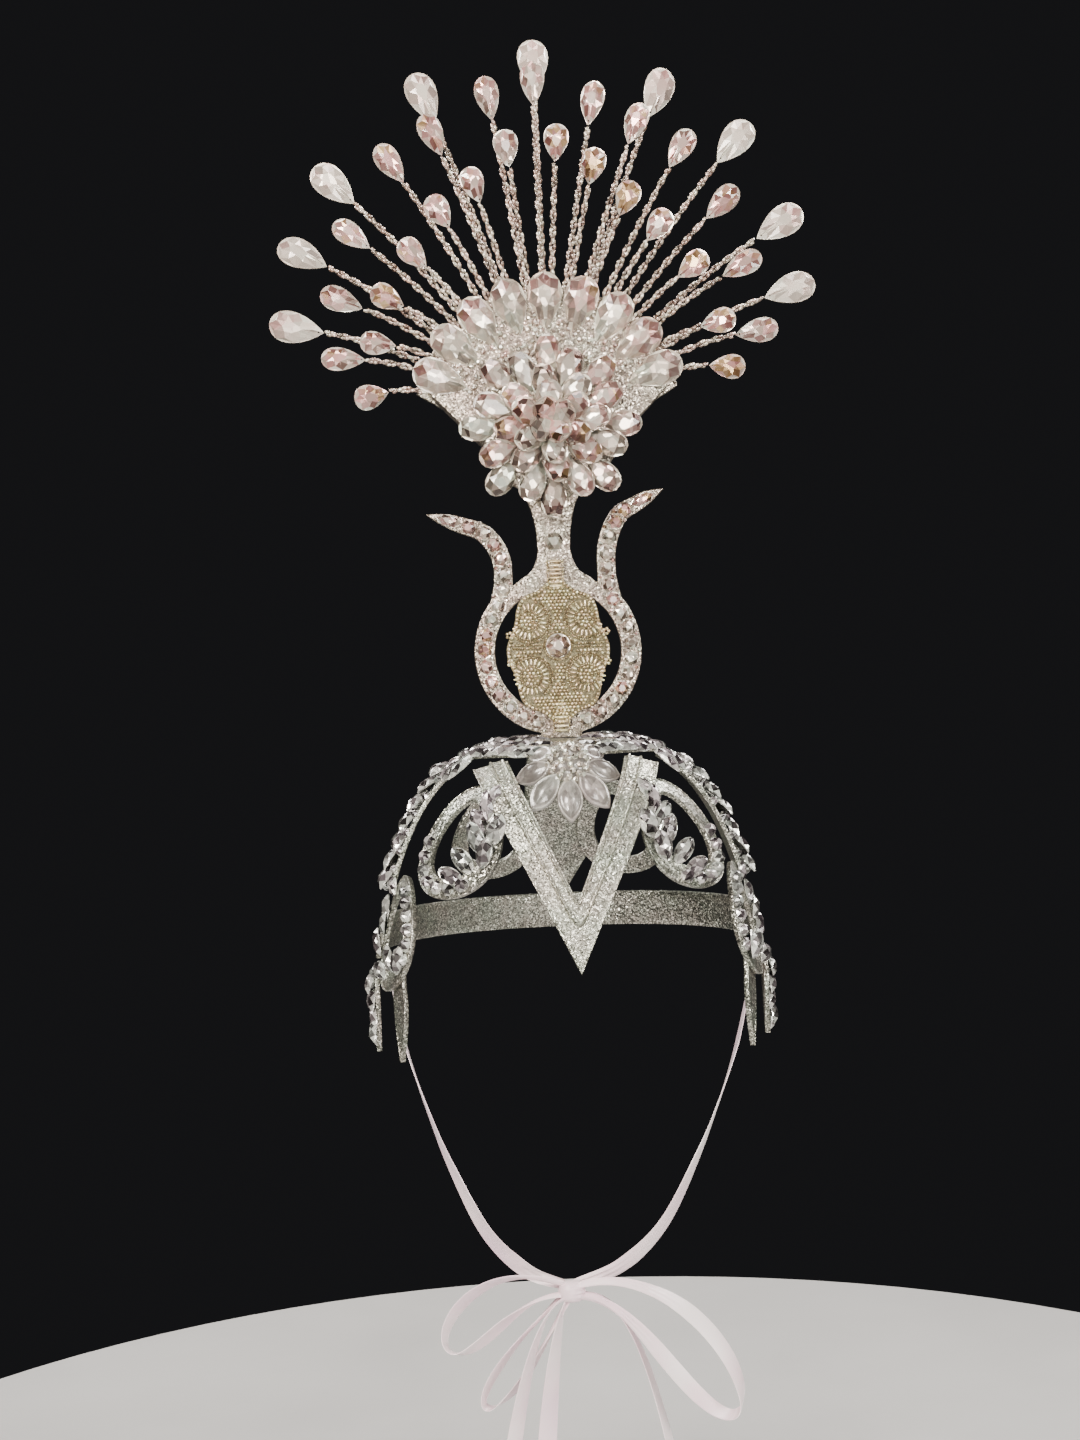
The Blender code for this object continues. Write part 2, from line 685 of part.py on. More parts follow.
# The line of a horn from the ring to its tip: shares of its reach and rise, and its width as a share
HORN_LINE = (
    {"out": 0.00, "up": 0.00, "width": 1.00},
    {"out": 0.00, "up": 0.20, "width": 1.00},
    {"out": 0.00, "up": 0.40, "width": 1.00},
    {"out": 0.06, "up": 0.57, "width": 1.00},
    {"out": 0.17, "up": 0.71, "width": 0.98},
    {"out": 0.30, "up": 0.80, "width": 0.92},
    {"out": 0.50, "up": 0.86, "width": 0.86},
    {"out": 0.70, "up": 0.92, "width": 0.74},
    {"out": 0.88, "up": 0.97, "width": 0.36},
)


def horn_middle(side):
    """Centre line of a horn in the crest's plane, with its tip last."""
    turn = math.radians(HORN_ANGLE)
    radius = (RING_OUTER + RING_INNER) / 2
    base = (radius * math.cos(turn), RING_HEIGHT + radius * math.sin(turn))
    reach = HORN_REACH[side]
    rise = HORN_RISE[side]
    line = [(base[0] + reach * row["out"], base[1] + rise * row["up"]) for row in HORN_LINE]
    return line + [(base[0] + reach, base[1] + rise)]


def horn_sides(side):
    """The two edges of a horn, from the ring up to the tip: the outer one, then the inner one."""
    line = horn_middle(side)
    outer = []
    inner = []
    for index, row in enumerate(HORN_LINE):
        before = line[max(index - 1, 0)]
        after = line[index + 1]
        along = Vector((after[0] - before[0], after[1] - before[1])).normalized()
        half = HORN_WIDTH * row["width"] / 2
        x, z = line[index]
        outer.append((x + along.y * half, z - along.x * half))
        inner.append((x - along.y * half, z + along.x * half))
    return outer[1:] + [line[-1]], inner[2:]


# The crest's edge from the ring's shoulder to the neck, and from the neck to the fan's end, as shares of the way
SHOULDER_LINE = (
    {"in": 0.00, "up": 0.00},
    {"in": 0.32, "up": 0.18},
    {"in": 0.70, "up": 0.38},
    {"in": 0.91, "up": 0.69},
    {"in": 1.00, "up": 1.00},
)
WING_LINE = (
    {"out": 0.02, "up": 0.16},
    {"out": 0.10, "up": 0.34},
    {"out": 0.34, "up": 0.60},
    {"out": 0.68, "up": 0.85},
)


def crest_half(side):
    """Half of the crest's outline, up from the foot to the end of the fan's arc, laid out on the +X side."""
    centre = (0, RING_HEIGHT)
    foot_turn = math.degrees(math.acos(FOOT_HALF_WIDTH / RING_OUTER))
    root_turn = math.degrees(HORN_WIDTH / 2 / RING_OUTER)
    outer, inner = horn_sides(side)
    half = [(FOOT_HALF_WIDTH, 0)]
    half += arc(centre, RING_OUTER, -foot_turn, HORN_ANGLE - root_turn, 16)
    half += outer
    half += inner[::-1]
    for row in SHOULDER_LINE:
        half.append((
            SHOULDER_HALF_WIDTH + (NECK_HALF_WIDTH - SHOULDER_HALF_WIDTH) * row["in"],
            SHOULDER_HEIGHT + (NECK_HEIGHT - SHOULDER_HEIGHT) * row["up"],
        ))
    wing = math.radians(90 - FAN_HALF_ANGLE)
    wing_tip = (FAN_RADIUS * math.cos(wing), FAN_HEIGHT + FAN_RADIUS * math.sin(wing))
    for row in WING_LINE:
        half.append((
            NECK_HALF_WIDTH + (wing_tip[0] - NECK_HALF_WIDTH) * row["out"],
            NECK_HEIGHT + (wing_tip[1] - NECK_HEIGHT) * row["up"],
        ))
    return half


def lyre_stone_places(side):
    """Places of the round stones from a horn's tip down the horn and round the ring to its foot."""
    middle = (RING_OUTER + RING_INNER) / 2
    route = horn_middle(side)[:0:-1]
    route += arc((0, RING_HEIGHT), middle, HORN_ANGLE - LYRE_CORNER, LYRE_STONE_END, 24)
    places = []
    wait = HORN_NAVETTE_START + HORN_NAVETTE_LENGTH + LYRE_STONE_PITCH / 2
    for start, end in zip(route, route[1:]):
        step = Vector((end[0] - start[0], end[1] - start[1]))
        while wait <= step.length:
            spot = Vector(start) + step.normalized() * wait
            places.append((spot.x, spot.y))
            wait += LYRE_STONE_PITCH
        wait -= step.length
    return places


def crest_board(foam, crystal, crest):
    """The cut-out board of the crest: lyre ring, horns, neck and fan, with the ring's round stones."""
    left = crest_half("left")
    right = [(-x, z) for x, z in crest_half("right")]
    fan = arc((0, FAN_HEIGHT), FAN_RADIUS, 90 - FAN_HALF_ANGLE, 90 + FAN_HALF_ANGLE, 24)
    outline = left + fan + right[::-1]
    square = (RING_INNER / OVAL_HALF_WIDTH) ** 2 - 1
    square /= 1 / OVAL_HALF_WIDTH ** 2 - 1 / OVAL_HALF_HEIGHT ** 2
    meeting = math.degrees(math.asin(math.sqrt(square) / RING_INNER))
    oval_end = math.asin(math.sqrt(square) / OVAL_HALF_HEIGHT)
    hole = arc((0, RING_HEIGHT), RING_INNER, -meeting, meeting, 14)
    for step in range(1, 10):
        turn = oval_end - 2 * oval_end * step / 10
        hole.append((OVAL_HALF_WIDTH * math.cos(turn), RING_HEIGHT + OVAL_HALF_HEIGHT * math.sin(turn)))
    other = [(-x, z) for x, z in hole]
    made = extrude_outline("crest_board", [outline, hole, other], 0, CREST_FOAM, foam, crest)
    stones = []
    for side, sign in (("left", 1), ("right", -1)):
        for number, (x, z) in enumerate(lyre_stone_places(side)):
            matrix = place(
                (sign * x - ROUND_STONE / 2, STONE_SINK, z), (1, 0, 0), (0, -1, 0),
            )
            stones.append(stone(
                f"lyre_stone_{side}_{number}", ROUND, ROUND_STONE, ROUND_STONE, ROUND_STONE_HEIGHT + STONE_SINK,
                matrix, crystal,
            ))
        tip, inward = (Vector((sign * x, 0, z)) for x, z in horn_middle(side)[:-3:-1])
        along = (inward - tip).normalized()
        matrix = place(
            tip + along * HORN_NAVETTE_START + Vector((0, STONE_SINK, 0)), along, (0, -1, 0),
        )
        stones.append(stone(
            f"horn_navette_{side}", NAVETTE, HORN_NAVETTE_LENGTH, HORN_NAVETTE_WIDTH,
            ROUND_STONE_HEIGHT + STONE_SINK, matrix, crystal,
        ))
    return fuse(made, stones)


def medallion(beads, crystal, crest):
    """The beaded oval on the lyre's middle: a lobed mat, four raised coils and a round centre stone."""
    outline = []
    corners = 4 * MEDALLION_LOBES
    for step in range(corners):
        turn = 2 * math.pi * step / corners
        lobe = 1 + MEDALLION_LOBE_SHARE * math.cos(MEDALLION_LOBES * turn)
        outline.append((
            (OVAL_HALF_WIDTH + MEDALLION_GROWTH) * lobe * math.cos(turn),
            RING_HEIGHT + (OVAL_HALF_HEIGHT - MEDALLION_GROWTH) * lobe * math.sin(turn),
        ))
    near = -CLEARANCE - MEDALLION_MAT
    made = extrude_outline("medallion", [outline], near, -CLEARANCE, beads, crest)
    helpers = []
    for across in (-COIL_ACROSS_SHARE, COIL_ACROSS_SHARE):
        for up in (-COIL_UP_SHARE, COIL_UP_SHARE):
            middle = (across * OVAL_HALF_WIDTH, RING_HEIGHT + up * OVAL_HALF_HEIGHT)
            rings = []
            for depth, size in ((near + MEDALLION_MAT / 2, 1.0), (near - COIL_RISE, 0.82)):
                rings.append([
                    (x, depth, z) for x, z in arc(middle, COIL_RADIUS * size, 0, 330, 11)
                ])
            helpers.append(loft("medallion_coil", rings, beads))
    matrix = place((-CENTRE_STONE / 2, near + STONE_SINK, RING_HEIGHT), (1, 0, 0), (0, -1, 0))
    helpers.append(stone(
        "medallion_stone", ROUND, CENTRE_STONE, CENTRE_STONE, CENTRE_STONE_HEIGHT, matrix, crystal,
    ))
    return fuse(made, helpers)


def fan_core(foam, crystal, crest):
    """The thick foam fan in front of the board that holds the sprays, with the large stones of its rim."""
    centre = (0, FAN_HEIGHT)
    fan = arc(centre, CORE_RADIUS, 90 - FAN_HALF_ANGLE, 90 + FAN_HALF_ANGLE, 32)
    waist = FAN_HEIGHT - FLOWER_DROP - FLOWER_BASE_RADIUS
    outline = fan + [(-NECK_HALF_WIDTH, waist), (NECK_HALF_WIDTH, waist)]
    made = extrude_outline("fan_core", [outline], -CLEARANCE - CORE_DEPTH, -CLEARANCE, foam, crest)
    stones = []
    tilt = math.radians(RIM_TILT)
    for number in range(RIM_STONES):
        turn = math.radians(RIM_HALF_ANGLE * (1 - 2 * number / (RIM_STONES - 1)))
        spoke = Vector((-math.sin(turn), 0, math.cos(turn)))
        start = RIM_REACH - LARGE_DROP_LENGTH * math.cos(tilt)
        origin = Vector((0, -CLEARANCE - CORE_DEPTH + STONE_SINK, FAN_HEIGHT)) + spoke * start
        along = spoke * math.cos(tilt) + Vector((0, -math.sin(tilt), 0))
        normal = Vector((0, -math.cos(tilt), 0)) - spoke * math.sin(tilt)
        stones.append(stone(
            f"rim_stone_{number}", PEAR, LARGE_DROP_LENGTH, LARGE_DROP_WIDTH, LARGE_DROP_HEIGHT * FLAT_SHARE,
            place(origin, along, normal), crystal, GIRDLE_SHARE,
        ))
    return fuse(made, stones)


# Rings of the flower, from the outside in: how many stones, where their ends are as a share of the
# flower's reach, how far they stand up in degrees, and whether they are set between those of the ring before
FLOWER_RINGS = (
    {"count": 8, "end": 1.00, "tilt": 5, "between": False, "length": DROP_LENGTH},
    {"count": 8, "end": 0.86, "tilt": 12, "between": True, "length": DROP_LENGTH},
    {"count": 8, "end": 0.70, "tilt": 22, "between": False, "length": SHORT_DROP_LENGTH},
    {"count": 8, "end": 0.52, "tilt": 34, "between": True, "length": SHORT_DROP_LENGTH},
    {"count": 6, "end": 0.34, "tilt": 50, "between": False, "length": SHORT_DROP_LENGTH},
)


def fan_flower(foam, crystal, crest):
    """The big flower of teardrop stones in front of the fan, set in rings on a low dome."""
    back = -CLEARANCE * 2 - CORE_DEPTH
    middle = Vector((0, 0, FAN_HEIGHT - FLOWER_DROP))
    dome = FLOWER_BASE_DEPTH + FLOWER_STEP * len(FLOWER_RINGS)

    def ring(radius, depth):
        return [
            middle + Vector((radius * math.cos(math.pi * step / 8), depth, radius * math.sin(math.pi * step / 8)))
            for step in range(16)
        ]

    made = loft("fan_flower", [
        ring(FLOWER_BASE_RADIUS, back), ring(FLOWER_BASE_RADIUS, back - FLOWER_BASE_DEPTH),
        ring(FLOWER_BASE_RADIUS * 0.5, back - dome * 0.72), ring(FLOWER_BASE_RADIUS * 0.12, back - dome),
    ], foam, parent=crest)
    stones = []
    for level, row in enumerate(FLOWER_RINGS):
        tilt = math.radians(row["tilt"])
        start = FLOWER_REACH * row["end"] - row["length"] * math.cos(tilt)
        depth = back - FLOWER_BASE_DEPTH - FLOWER_STEP * level + STONE_SINK / 2
        for number in range(row["count"]):
            shift = 0.5 if row["between"] else 0.0
            turn = 2 * math.pi * (number + shift) / row["count"] + math.radians(FLOWER_TWIST * level)
            spoke = Vector((math.cos(turn), 0, math.sin(turn)))
            along = spoke * math.cos(tilt) + Vector((0, -math.sin(tilt), 0))
            normal = Vector((0, -math.cos(tilt), 0)) - spoke * math.sin(tilt)
            origin = middle + spoke * start + Vector((0, depth - number % 2 * CLEARANCE, 0))
            stones.append(stone(
                f"flower_stone_{level}_{number}", PEAR, row["length"], DROP_WIDTH, DROP_HEIGHT * FLAT_SHARE,
                place(origin, along, normal), crystal,
            ))
    return fuse(made, stones)


# Sections of a teardrop stone along its length: half width, table half width, front and back, as shares
DROP_SECTIONS = (
    {"along": 0.12, "width": 0.36, "table": 0.18, "front": 0.60, "back": 0.45},
    {"along": 0.52, "width": 0.94, "table": 0.54, "front": 1.00, "back": 1.00},
    {"along": 0.84, "width": 0.88, "table": 0.50, "front": 1.00, "back": 1.00},
    {"along": 1.00, "width": 0.34, "table": 0.18, "front": 0.40, "back": 0.30},
)


def spray(name, row, angle, share_of_reach, beads, crest):
    """A beaded stem that ends in a teardrop stone, as one body from its foot on the fan core's edge."""
    turn = math.radians(angle)
    foot = CORE_RADIUS + CLEARANCE
    run = row["reach"] * share_of_reach - row["length"] / 2 - foot
    foot_depth = CLEARANCE + CORE_DEPTH * (1 - row["depth"])

    def stem_point(share):
        bend = turn * (1 - STEM_CURL * (1 - share ** 2))
        radius = foot + run * share
        depth = -foot_depth - row["lean"] * run * share ** 2
        return Vector((-radius * math.sin(bend), depth, FAN_HEIGHT + radius * math.cos(bend)))

    def section(centre, along, right, half, table, front, back):
        toward = right.cross(along).normalized()
        return [
            centre + right * half, centre + right * table + toward * front,
            centre - right * table + toward * front, centre - right * half,
            centre - right * table - toward * back, centre + right * table - toward * back,
        ]

    rings = []
    step = 0.01
    for share in (0.0, 0.5, 1.0):
        along = (stem_point(share + step) - stem_point(share - step * (share > 0))).normalized()
        right = along.cross(Vector((0, 1, 0))).normalized()
        half = STEM / 2
        side = half * math.cos(math.radians(60))
        front = half * math.sin(math.radians(60))
        rings.append(section(stem_point(share), along, right, half, side, front, front))
    start = stem_point(1.0)
    for part in DROP_SECTIONS:
        rings.append(section(
            start + along * row["length"] * part["along"], along, right, row["width"] / 2 * part["width"],
            row["width"] / 2 * part["table"], row["height"] * FRONT_SHARE * part["front"],
            row["height"] * (1 - FRONT_SHARE) * part["back"],
        ))
    return loft(name, rings, beads, parent=crest)


def smooth_line(points, pieces):
    """A smooth line through the points, with the given number of steps between each two."""
    ends = [points[0] * 2 - points[1]] + list(points) + [points[-1] * 2 - points[-2]]
    line = []
    for index in range(1, len(ends) - 2):
        p0, p1, p2, p3 = ends[index - 1:index + 3]
        for step in range(pieces):
            t = step / pieces
            line.append((
                p1 * 2 + (p2 - p0) * t + (p0 * 2 - p1 * 5 + p2 * 4 - p3) * t ** 2
                + (p1 * 3 - p0 - p2 * 3 + p3) * t ** 3
            ) / 2)
    return line + [points[-1]]


def ribbon_rings(line, twists, pinched_start, pinched_end):
    """Rings of a flat ribbon along a line, gathered where it meets a knot. Without twist its width runs back."""
    rings = []
    last = len(line) - 1
    for index, point in enumerate(line):
        before = line[max(index - 1, 0)]
        after = line[min(index + 1, len(line) - 1)]
        along = (after - before).normalized()
        across = (Vector((0, 1, 0)) - along * along.y).normalized()
        share = index / last * (len(twists) - 1)
        low = min(int(share), len(twists) - 2)
        twist = twists[low] + (twists[low + 1] - twists[low]) * (share - low)
        away = min(index if pinched_start else last, last - index if pinched_end else last)
        gather = min(1.0, GATHER + away / last * GATHER_RATE)
        across = Matrix.Rotation(math.radians(twist), 3, along) @ across
        normal = along.cross(across).normalized()
        half = across * RIBBON_WIDTH / 2 * gather
        thick = normal * RIBBON / 2
        rings.append([point - half - thick, point + half - thick, point + half + thick, point - half + thick])
    return rings


KNOT = Vector((CHIN_SHIFT, -CHIN_FRONT, -CHIN_DROP))

# The ribbon's way from the cap to the knot: shares of the way across, forward and down
STRAP_LINE = (
    {"across": 0.00, "forward": 0.00, "down": 0.00},
    {"across": 0.06, "forward": 0.01, "down": 0.17},
    {"across": 0.12, "forward": 0.04, "down": 0.31},
    {"across": 0.21, "forward": 0.10, "down": 0.46},
    {"across": 0.33, "forward": 0.20, "down": 0.63},
    {"across": 0.53, "forward": 0.42, "down": 0.845},
    {"across": 0.76, "forward": 0.72, "down": 0.96},
    {"across": 1.00, "forward": 1.00, "down": 1.00},
)


def strap(name, side, satin):
    """A ribbon from inside the side loop down the cheek to the back of the knot under the chin."""
    sheet = Sheet(side * STRAP_AZIMUTH, STRAP_DROP)
    start = sheet.point(0, 0, layer(0) - CLEARANCE - RIBBON / 2)
    end = KNOT + Vector((side * KNOT_WIDTH * 0.12, KNOT_DEPTH / 2 + CLEARANCE, KNOT_HEIGHT * 0.15))
    way = end - start
    points = [
        start + Vector((way.x * row["across"], way.y * row["forward"], way.z * row["down"])) for row in STRAP_LINE
    ]
    facing = math.degrees(math.asin(sheet.east.x))
    twists = [side * twist for twist in (facing, 0, 15, 45, 80)]
    return loft(name, ribbon_rings(smooth_line(points, 2), twists, False, True), satin)


# Loops of the bow: how far out and down each one's tip is from the knot, how far its middle line arches up,
# half its opening, and how far back it starts and forward it comes, as shares of the bow's reach, then its
# twist in degrees
BOW_LOOPS = (
    {
        "name": "left", "out": -0.85, "down": 0.30, "arch": 0.08, "open": 0.125,
        "start": 0.010, "forward": 0.17, "twist": 40,
    },
    {
        "name": "right", "out": 1.06, "down": 0.80, "arch": 0.06, "open": 0.150,
        "start": -0.008, "forward": 0.23, "twist": 40,
    },
    {
        "name": "low", "out": -0.60, "down": 0.78, "arch": -0.18, "open": 0.070,
        "start": 0.022, "forward": -0.04, "twist": 30,
    },
)

# Tails of the bow: how far out each one ends, the power of that curve, how far back it starts and forward it
# comes, as shares of the tails' length, and its twist in degrees at its end
BOW_TAILS = (
    {"name": "left", "out": -0.40, "curve": 0.45, "start": -0.012, "forward": 0.10, "twist": 60},
    {"name": "middle", "out": -0.19, "curve": 0.50, "start": 0.015, "forward": 0.01, "twist": 75},
    {"name": "right", "out": 0.54, "curve": 0.33, "start": 0.003, "forward": 0.06, "twist": 25},
)


def bow_loop(row, satin):
    """One ribbon loop of the bow: out from the knot over its upper side and back under."""
    line = []
    twists = []
    for step in range(BOW_LOOP_STEPS + 1):
        turn = math.pi * step / BOW_LOOP_STEPS
        out = math.sin(turn) ** 0.8
        middle_up = row["arch"] * 4 * out * (1 - out) - row["down"] * out ** 2
        slope = Vector((row["out"], 0, -2 * row["down"] * out)).normalized()
        side = Vector((-slope.z, 0, slope.x)) * math.copysign(1, row["out"])
        apart = row["open"] * math.sin(2 * turn) + BOW_START_SHARE * math.cos(turn)
        line.append(KNOT + BOW_REACH * (
            Vector((row["out"] * out, row["start"] - row["forward"] * out, middle_up)) + side * apart
        ))
        twists.append(row["twist"] * math.sin(2 * turn))
    return loft("bow_loop_" + row["name"], ribbon_rings(line, twists, True, True), satin, split=True)


def bow_tail(row, satin):
    """One hanging end of a ribbon, from inside the knot."""
    line = []
    for step in range(BOW_TAIL_STEPS + 1):
        down = (step / BOW_TAIL_STEPS) ** 1.5
        line.append(KNOT + TAIL_LENGTH * Vector((
            row["out"] * down ** row["curve"], row["start"] - row["forward"] * down, -0.02 - down,
        )))
    rings = ribbon_rings(line, (0, row["twist"]), True, False)
    return loft("bow_tail_" + row["name"], rings, satin, split=True)


def bow(satin):
    """The bow under the chin: its knot, three loops and three tails, joined in one body."""
    sizes = Vector((KNOT_WIDTH, KNOT_DEPTH, KNOT_HEIGHT)) / 2
    rings = []
    for height, radius in ((-1, 0.55), (-0.45, 1), (0.45, 1), (1, 0.55)):
        rings.append([
            KNOT + Vector((
                sizes.x * radius * math.cos(math.pi * step / 4),
                sizes.y * radius * math.sin(math.pi * step / 4),
                sizes.z * height,
            ))
            for step in range(8)
        ])
    knot = loft("bow", rings, satin)
    strips = [bow_loop(row, satin) for row in BOW_LOOPS] + [bow_tail(row, satin) for row in BOW_TAILS]
    return fuse(knot, strips, singly=True)


def build():
    clear_scene()
    foam = finish("silver_glitter", (0.72, 0.73, 0.74), 0.35, 0.6)
    crystal = finish("clear_crystal", (0.88, 0.84, 0.84), 0.08)
    beads = finish("silver_beads", (0.72, 0.66, 0.58), 0.25, 0.5)
    gold = finish("champagne_beads", (0.74, 0.64, 0.42), 0.30, 0.6)
    satin = finish("white_satin", (0.90, 0.84, 0.86), 0.35)

    crown_plate(foam)
    crown_flower(crystal)
    front_v(foam)
    for side, hand in ((-1, "right"), (1, "left")):
        scroll_loop(
            f"front_loop_{hand}", FRONT_LOOP_AZIMUTH, FRONT_LOOP_DROP, FRONT_LOOP_HALF_WIDTH,
            FRONT_LOOP_HALF_HEIGHT, 1, side, -side, foam, crystal,
        )
        scroll_loop(
            f"side_loop_{hand}", SIDE_LOOP_AZIMUTH, SIDE_LOOP_DROP, SIDE_LOOP_HALF_WIDTH,
            SIDE_LOOP_HALF_HEIGHT, 0, side, -side, foam, crystal,
        )
        scroll_loop(
            f"back_loop_{hand}", BACK_LOOP_AZIMUTH, BACK_LOOP_DROP, FRONT_LOOP_HALF_WIDTH,
            FRONT_LOOP_HALF_HEIGHT, 1, side, 0, foam, crystal,
        )
        side_arm(f"side_arm_{hand}", side, foam, crystal)
        leaf(f"leaf_front_{hand}", FRONT_LEAF_AZIMUTH, -1, side, foam)
        leaf(f"leaf_rear_{hand}", REAR_LEAF_AZIMUTH, 1, side, foam)
        strap(f"ribbon_{hand}", side, satin)
    back_arm(foam)
    back_band(foam)
    bow(satin)

    crest = bpy.data.objects.new("crest", None)
    bpy.context.scene.collection.objects.link(crest)
    crest.location = (0, CREST_FRONT, layer(3) + FOAM + CLEARANCE)
    crest_board(foam, crystal, crest)
    medallion(gold, crystal, crest)
    fan_core(foam, crystal, crest)
    fan_flower(foam, crystal, crest)
    for row_name, row in ROWS.items():
        for number, (angle, share_of_reach) in enumerate(row["sprays"], 1):
            spray(f"{row_name}_spray_{number}", row, angle, share_of_reach, beads, crest)


build()
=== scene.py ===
# Looks of a silver carnival headdress: a cap of glitter foam scrolls set with cut stones, a lyre-shaped
# crest, a fan of beaded sprays and satin ribbons. Metres, +Z up, the wearer faces -Y, origin at the crown.
import math

import bpy
import numpy as np
from mathutils import Matrix


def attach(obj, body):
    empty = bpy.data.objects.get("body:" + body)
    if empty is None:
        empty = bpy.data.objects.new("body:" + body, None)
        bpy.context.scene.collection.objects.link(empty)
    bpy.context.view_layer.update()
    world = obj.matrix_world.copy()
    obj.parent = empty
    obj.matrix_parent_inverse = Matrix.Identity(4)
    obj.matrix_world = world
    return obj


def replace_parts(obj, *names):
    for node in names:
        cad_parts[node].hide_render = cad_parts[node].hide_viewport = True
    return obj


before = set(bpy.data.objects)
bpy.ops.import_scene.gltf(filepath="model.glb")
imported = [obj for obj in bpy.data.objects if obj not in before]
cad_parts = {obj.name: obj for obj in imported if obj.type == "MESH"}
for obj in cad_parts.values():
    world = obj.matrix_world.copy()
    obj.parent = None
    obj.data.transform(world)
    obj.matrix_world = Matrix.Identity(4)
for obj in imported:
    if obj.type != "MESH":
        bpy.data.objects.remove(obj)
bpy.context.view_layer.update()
print("frame loaded:", len(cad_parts), "nodes")

# Small helpers


def unit(vectors):
    # each vector divided by its length
    return vectors / np.maximum(np.linalg.norm(vectors, axis=-1, keepdims=True), 1e-12)


def joined(*parts):
    # coordinates put together into points
    return np.stack(np.broadcast_arrays(*parts), axis=-1)


def fullTurn(count):
    # equal steps round a full turn
    return 2 * np.pi * np.arange(count) / count


def rowsOf(*parts):
    # each part as an array of rows of three
    return [np.asarray(part, float).reshape(-1, 3) for part in parts]


def lengthAlong(line):
    # the sum of the steps up to each point of a line
    return np.concatenate([[0], np.cumsum(np.linalg.norm(np.diff(line, axis=0), axis=1))])


def gridFaces(rows, cols, wrapRows=False, wrapCols=False):
    # quads between neighbouring points of a rows by cols grid, joined round where it wraps
    i = np.arange(rows if wrapRows else rows - 1)[:, None]
    j = np.arange(cols if wrapCols else cols - 1)[None, :]
    right = (j + 1) % cols
    down = (i + 1) % rows
    return joined(i * cols + j, i * cols + right, down * cols + right, down * cols + j).reshape(-1, 4)


def tubeFaces(rings, around, closed=False):
    # side quads of rings of points, with the two end rings as flat caps unless the tube closes on itself
    sides = gridFaces(rings, around, wrapRows=closed, wrapCols=True)
    if closed:
        return [sides]
    return [sides, np.stack([np.arange(around)[::-1], (rings - 1) * around + np.arange(around)])]


def copiedFaces(blocks, count, stride):
    # the same faces for each of a count of equal bodies whose points follow each other at the stride
    offsets = (np.arange(count) * stride)[:, None, None]
    return [(block[None] + offsets).reshape(-1, block.shape[1]) for block in blocks]


def signedVolume(points, faces):
    # sum over the faces' fan triangles of a . (b x c)
    total = 0.0
    for block in faces:
        a = points[block[:, 0]]
        for corner in range(1, block.shape[1] - 1):
            b, c = points[block[:, corner]], points[block[:, corner + 1]]
            total += np.einsum("ij,ij->", a, np.cross(b, c))
    return total


def meshPiece(name, points, faces, material, sharp=35.0, tint=None, hue=None, uv=None, flat=False):
    # a closed surface from points and blocks of equal-sided faces, turned to face outwards
    points = np.asarray(points, float).reshape(-1, 3)
    faces = [np.asarray(block, int) for block in faces if len(block)]
    if signedVolume(points, faces) < 0:
        faces = [block[:, ::-1] for block in faces]
    corners = np.concatenate([block.ravel() for block in faces])
    sizes = np.concatenate([np.full(len(block), block.shape[1]) for block in faces])
    mesh = bpy.data.meshes.new(name)
    mesh.vertices.add(len(points))
    mesh.vertices.foreach_set("co", points.ravel())
    mesh.loops.add(len(corners))
    mesh.loops.foreach_set("vertex_index", corners)
    mesh.polygons.add(len(sizes))
    mesh.polygons.foreach_set("loop_start", np.concatenate([[0], np.cumsum(sizes)[:-1]]))
    mesh.polygons.foreach_set("use_smooth", np.full(len(sizes), not flat))
    mesh.update(calc_edges=True)
    if not flat:
        mesh.set_sharp_from_angle(angle=math.radians(sharp))
    for label, values in (("tint", tint), ("hue", hue)):
        if values is not None:
            mesh.attributes.new(label, "FLOAT", "FACE").data.foreach_set("value", np.ravel(values))
    if uv is not None:
        layer = mesh.uv_layers.new(name="lay")
        layer.data.foreach_set("uv", np.reshape(uv, (-1, 2))[corners].ravel())
    mesh.materials.append(material)
    piece = linked(name, mesh)
    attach(piece, "root")
    return piece


def linked(name, data):
    # a new object in the scene
    item = bpy.data.objects.new(name, data)
    bpy.context.scene.collection.objects.link(item)
    return item


def smoothLine(points, pieces):
    # Catmull-Rom curve: each span is the cubic through its two ends with slopes from their neighbours
    points = np.asarray(points, float)
    ends = np.vstack([2 * points[0] - points[1], points, 2 * points[-1] - points[-2]])
    p0, p1, p2, p3 = ends[:-3, None], ends[1:-2, None], ends[2:-1, None], ends[3:, None]
    t = (np.arange(pieces) / pieces)[None, :, None]
    square, cube = p0 * 2 - p1 * 5 + p2 * 4 - p3, p1 * 3 - p0 - p2 * 3 + p3
    line = (p1 * 2 + (p2 - p0) * t + square * t ** 2 + cube * t ** 3) / 2
    return np.vstack([line.reshape(-1, points.shape[1]), points[-1]])


def arcLine(centre, radius, start, end, steps):
    # points of a circle from one turn to another, in degrees
    turns = np.radians(np.linspace(start, end, steps + 1))
    return joined(centre[0] + radius * np.cos(turns), centre[1] + radius * np.sin(turns))


def evenPlaces(line, first, pitch, last=0.0):
    # places at equal steps along a line, from first to its length less last, and the line's direction there
    reach = lengthAlong(line)
    wanted = np.arange(first, reach[-1] - last + 1e-9, pitch)
    near = 1e-4

    def at(places):
        return joined(*(np.interp(places, reach, values) for values in line.T))

    return at(wanted), unit(at(wanted + near) - at(wanted - near))


# The head form that the cap follows

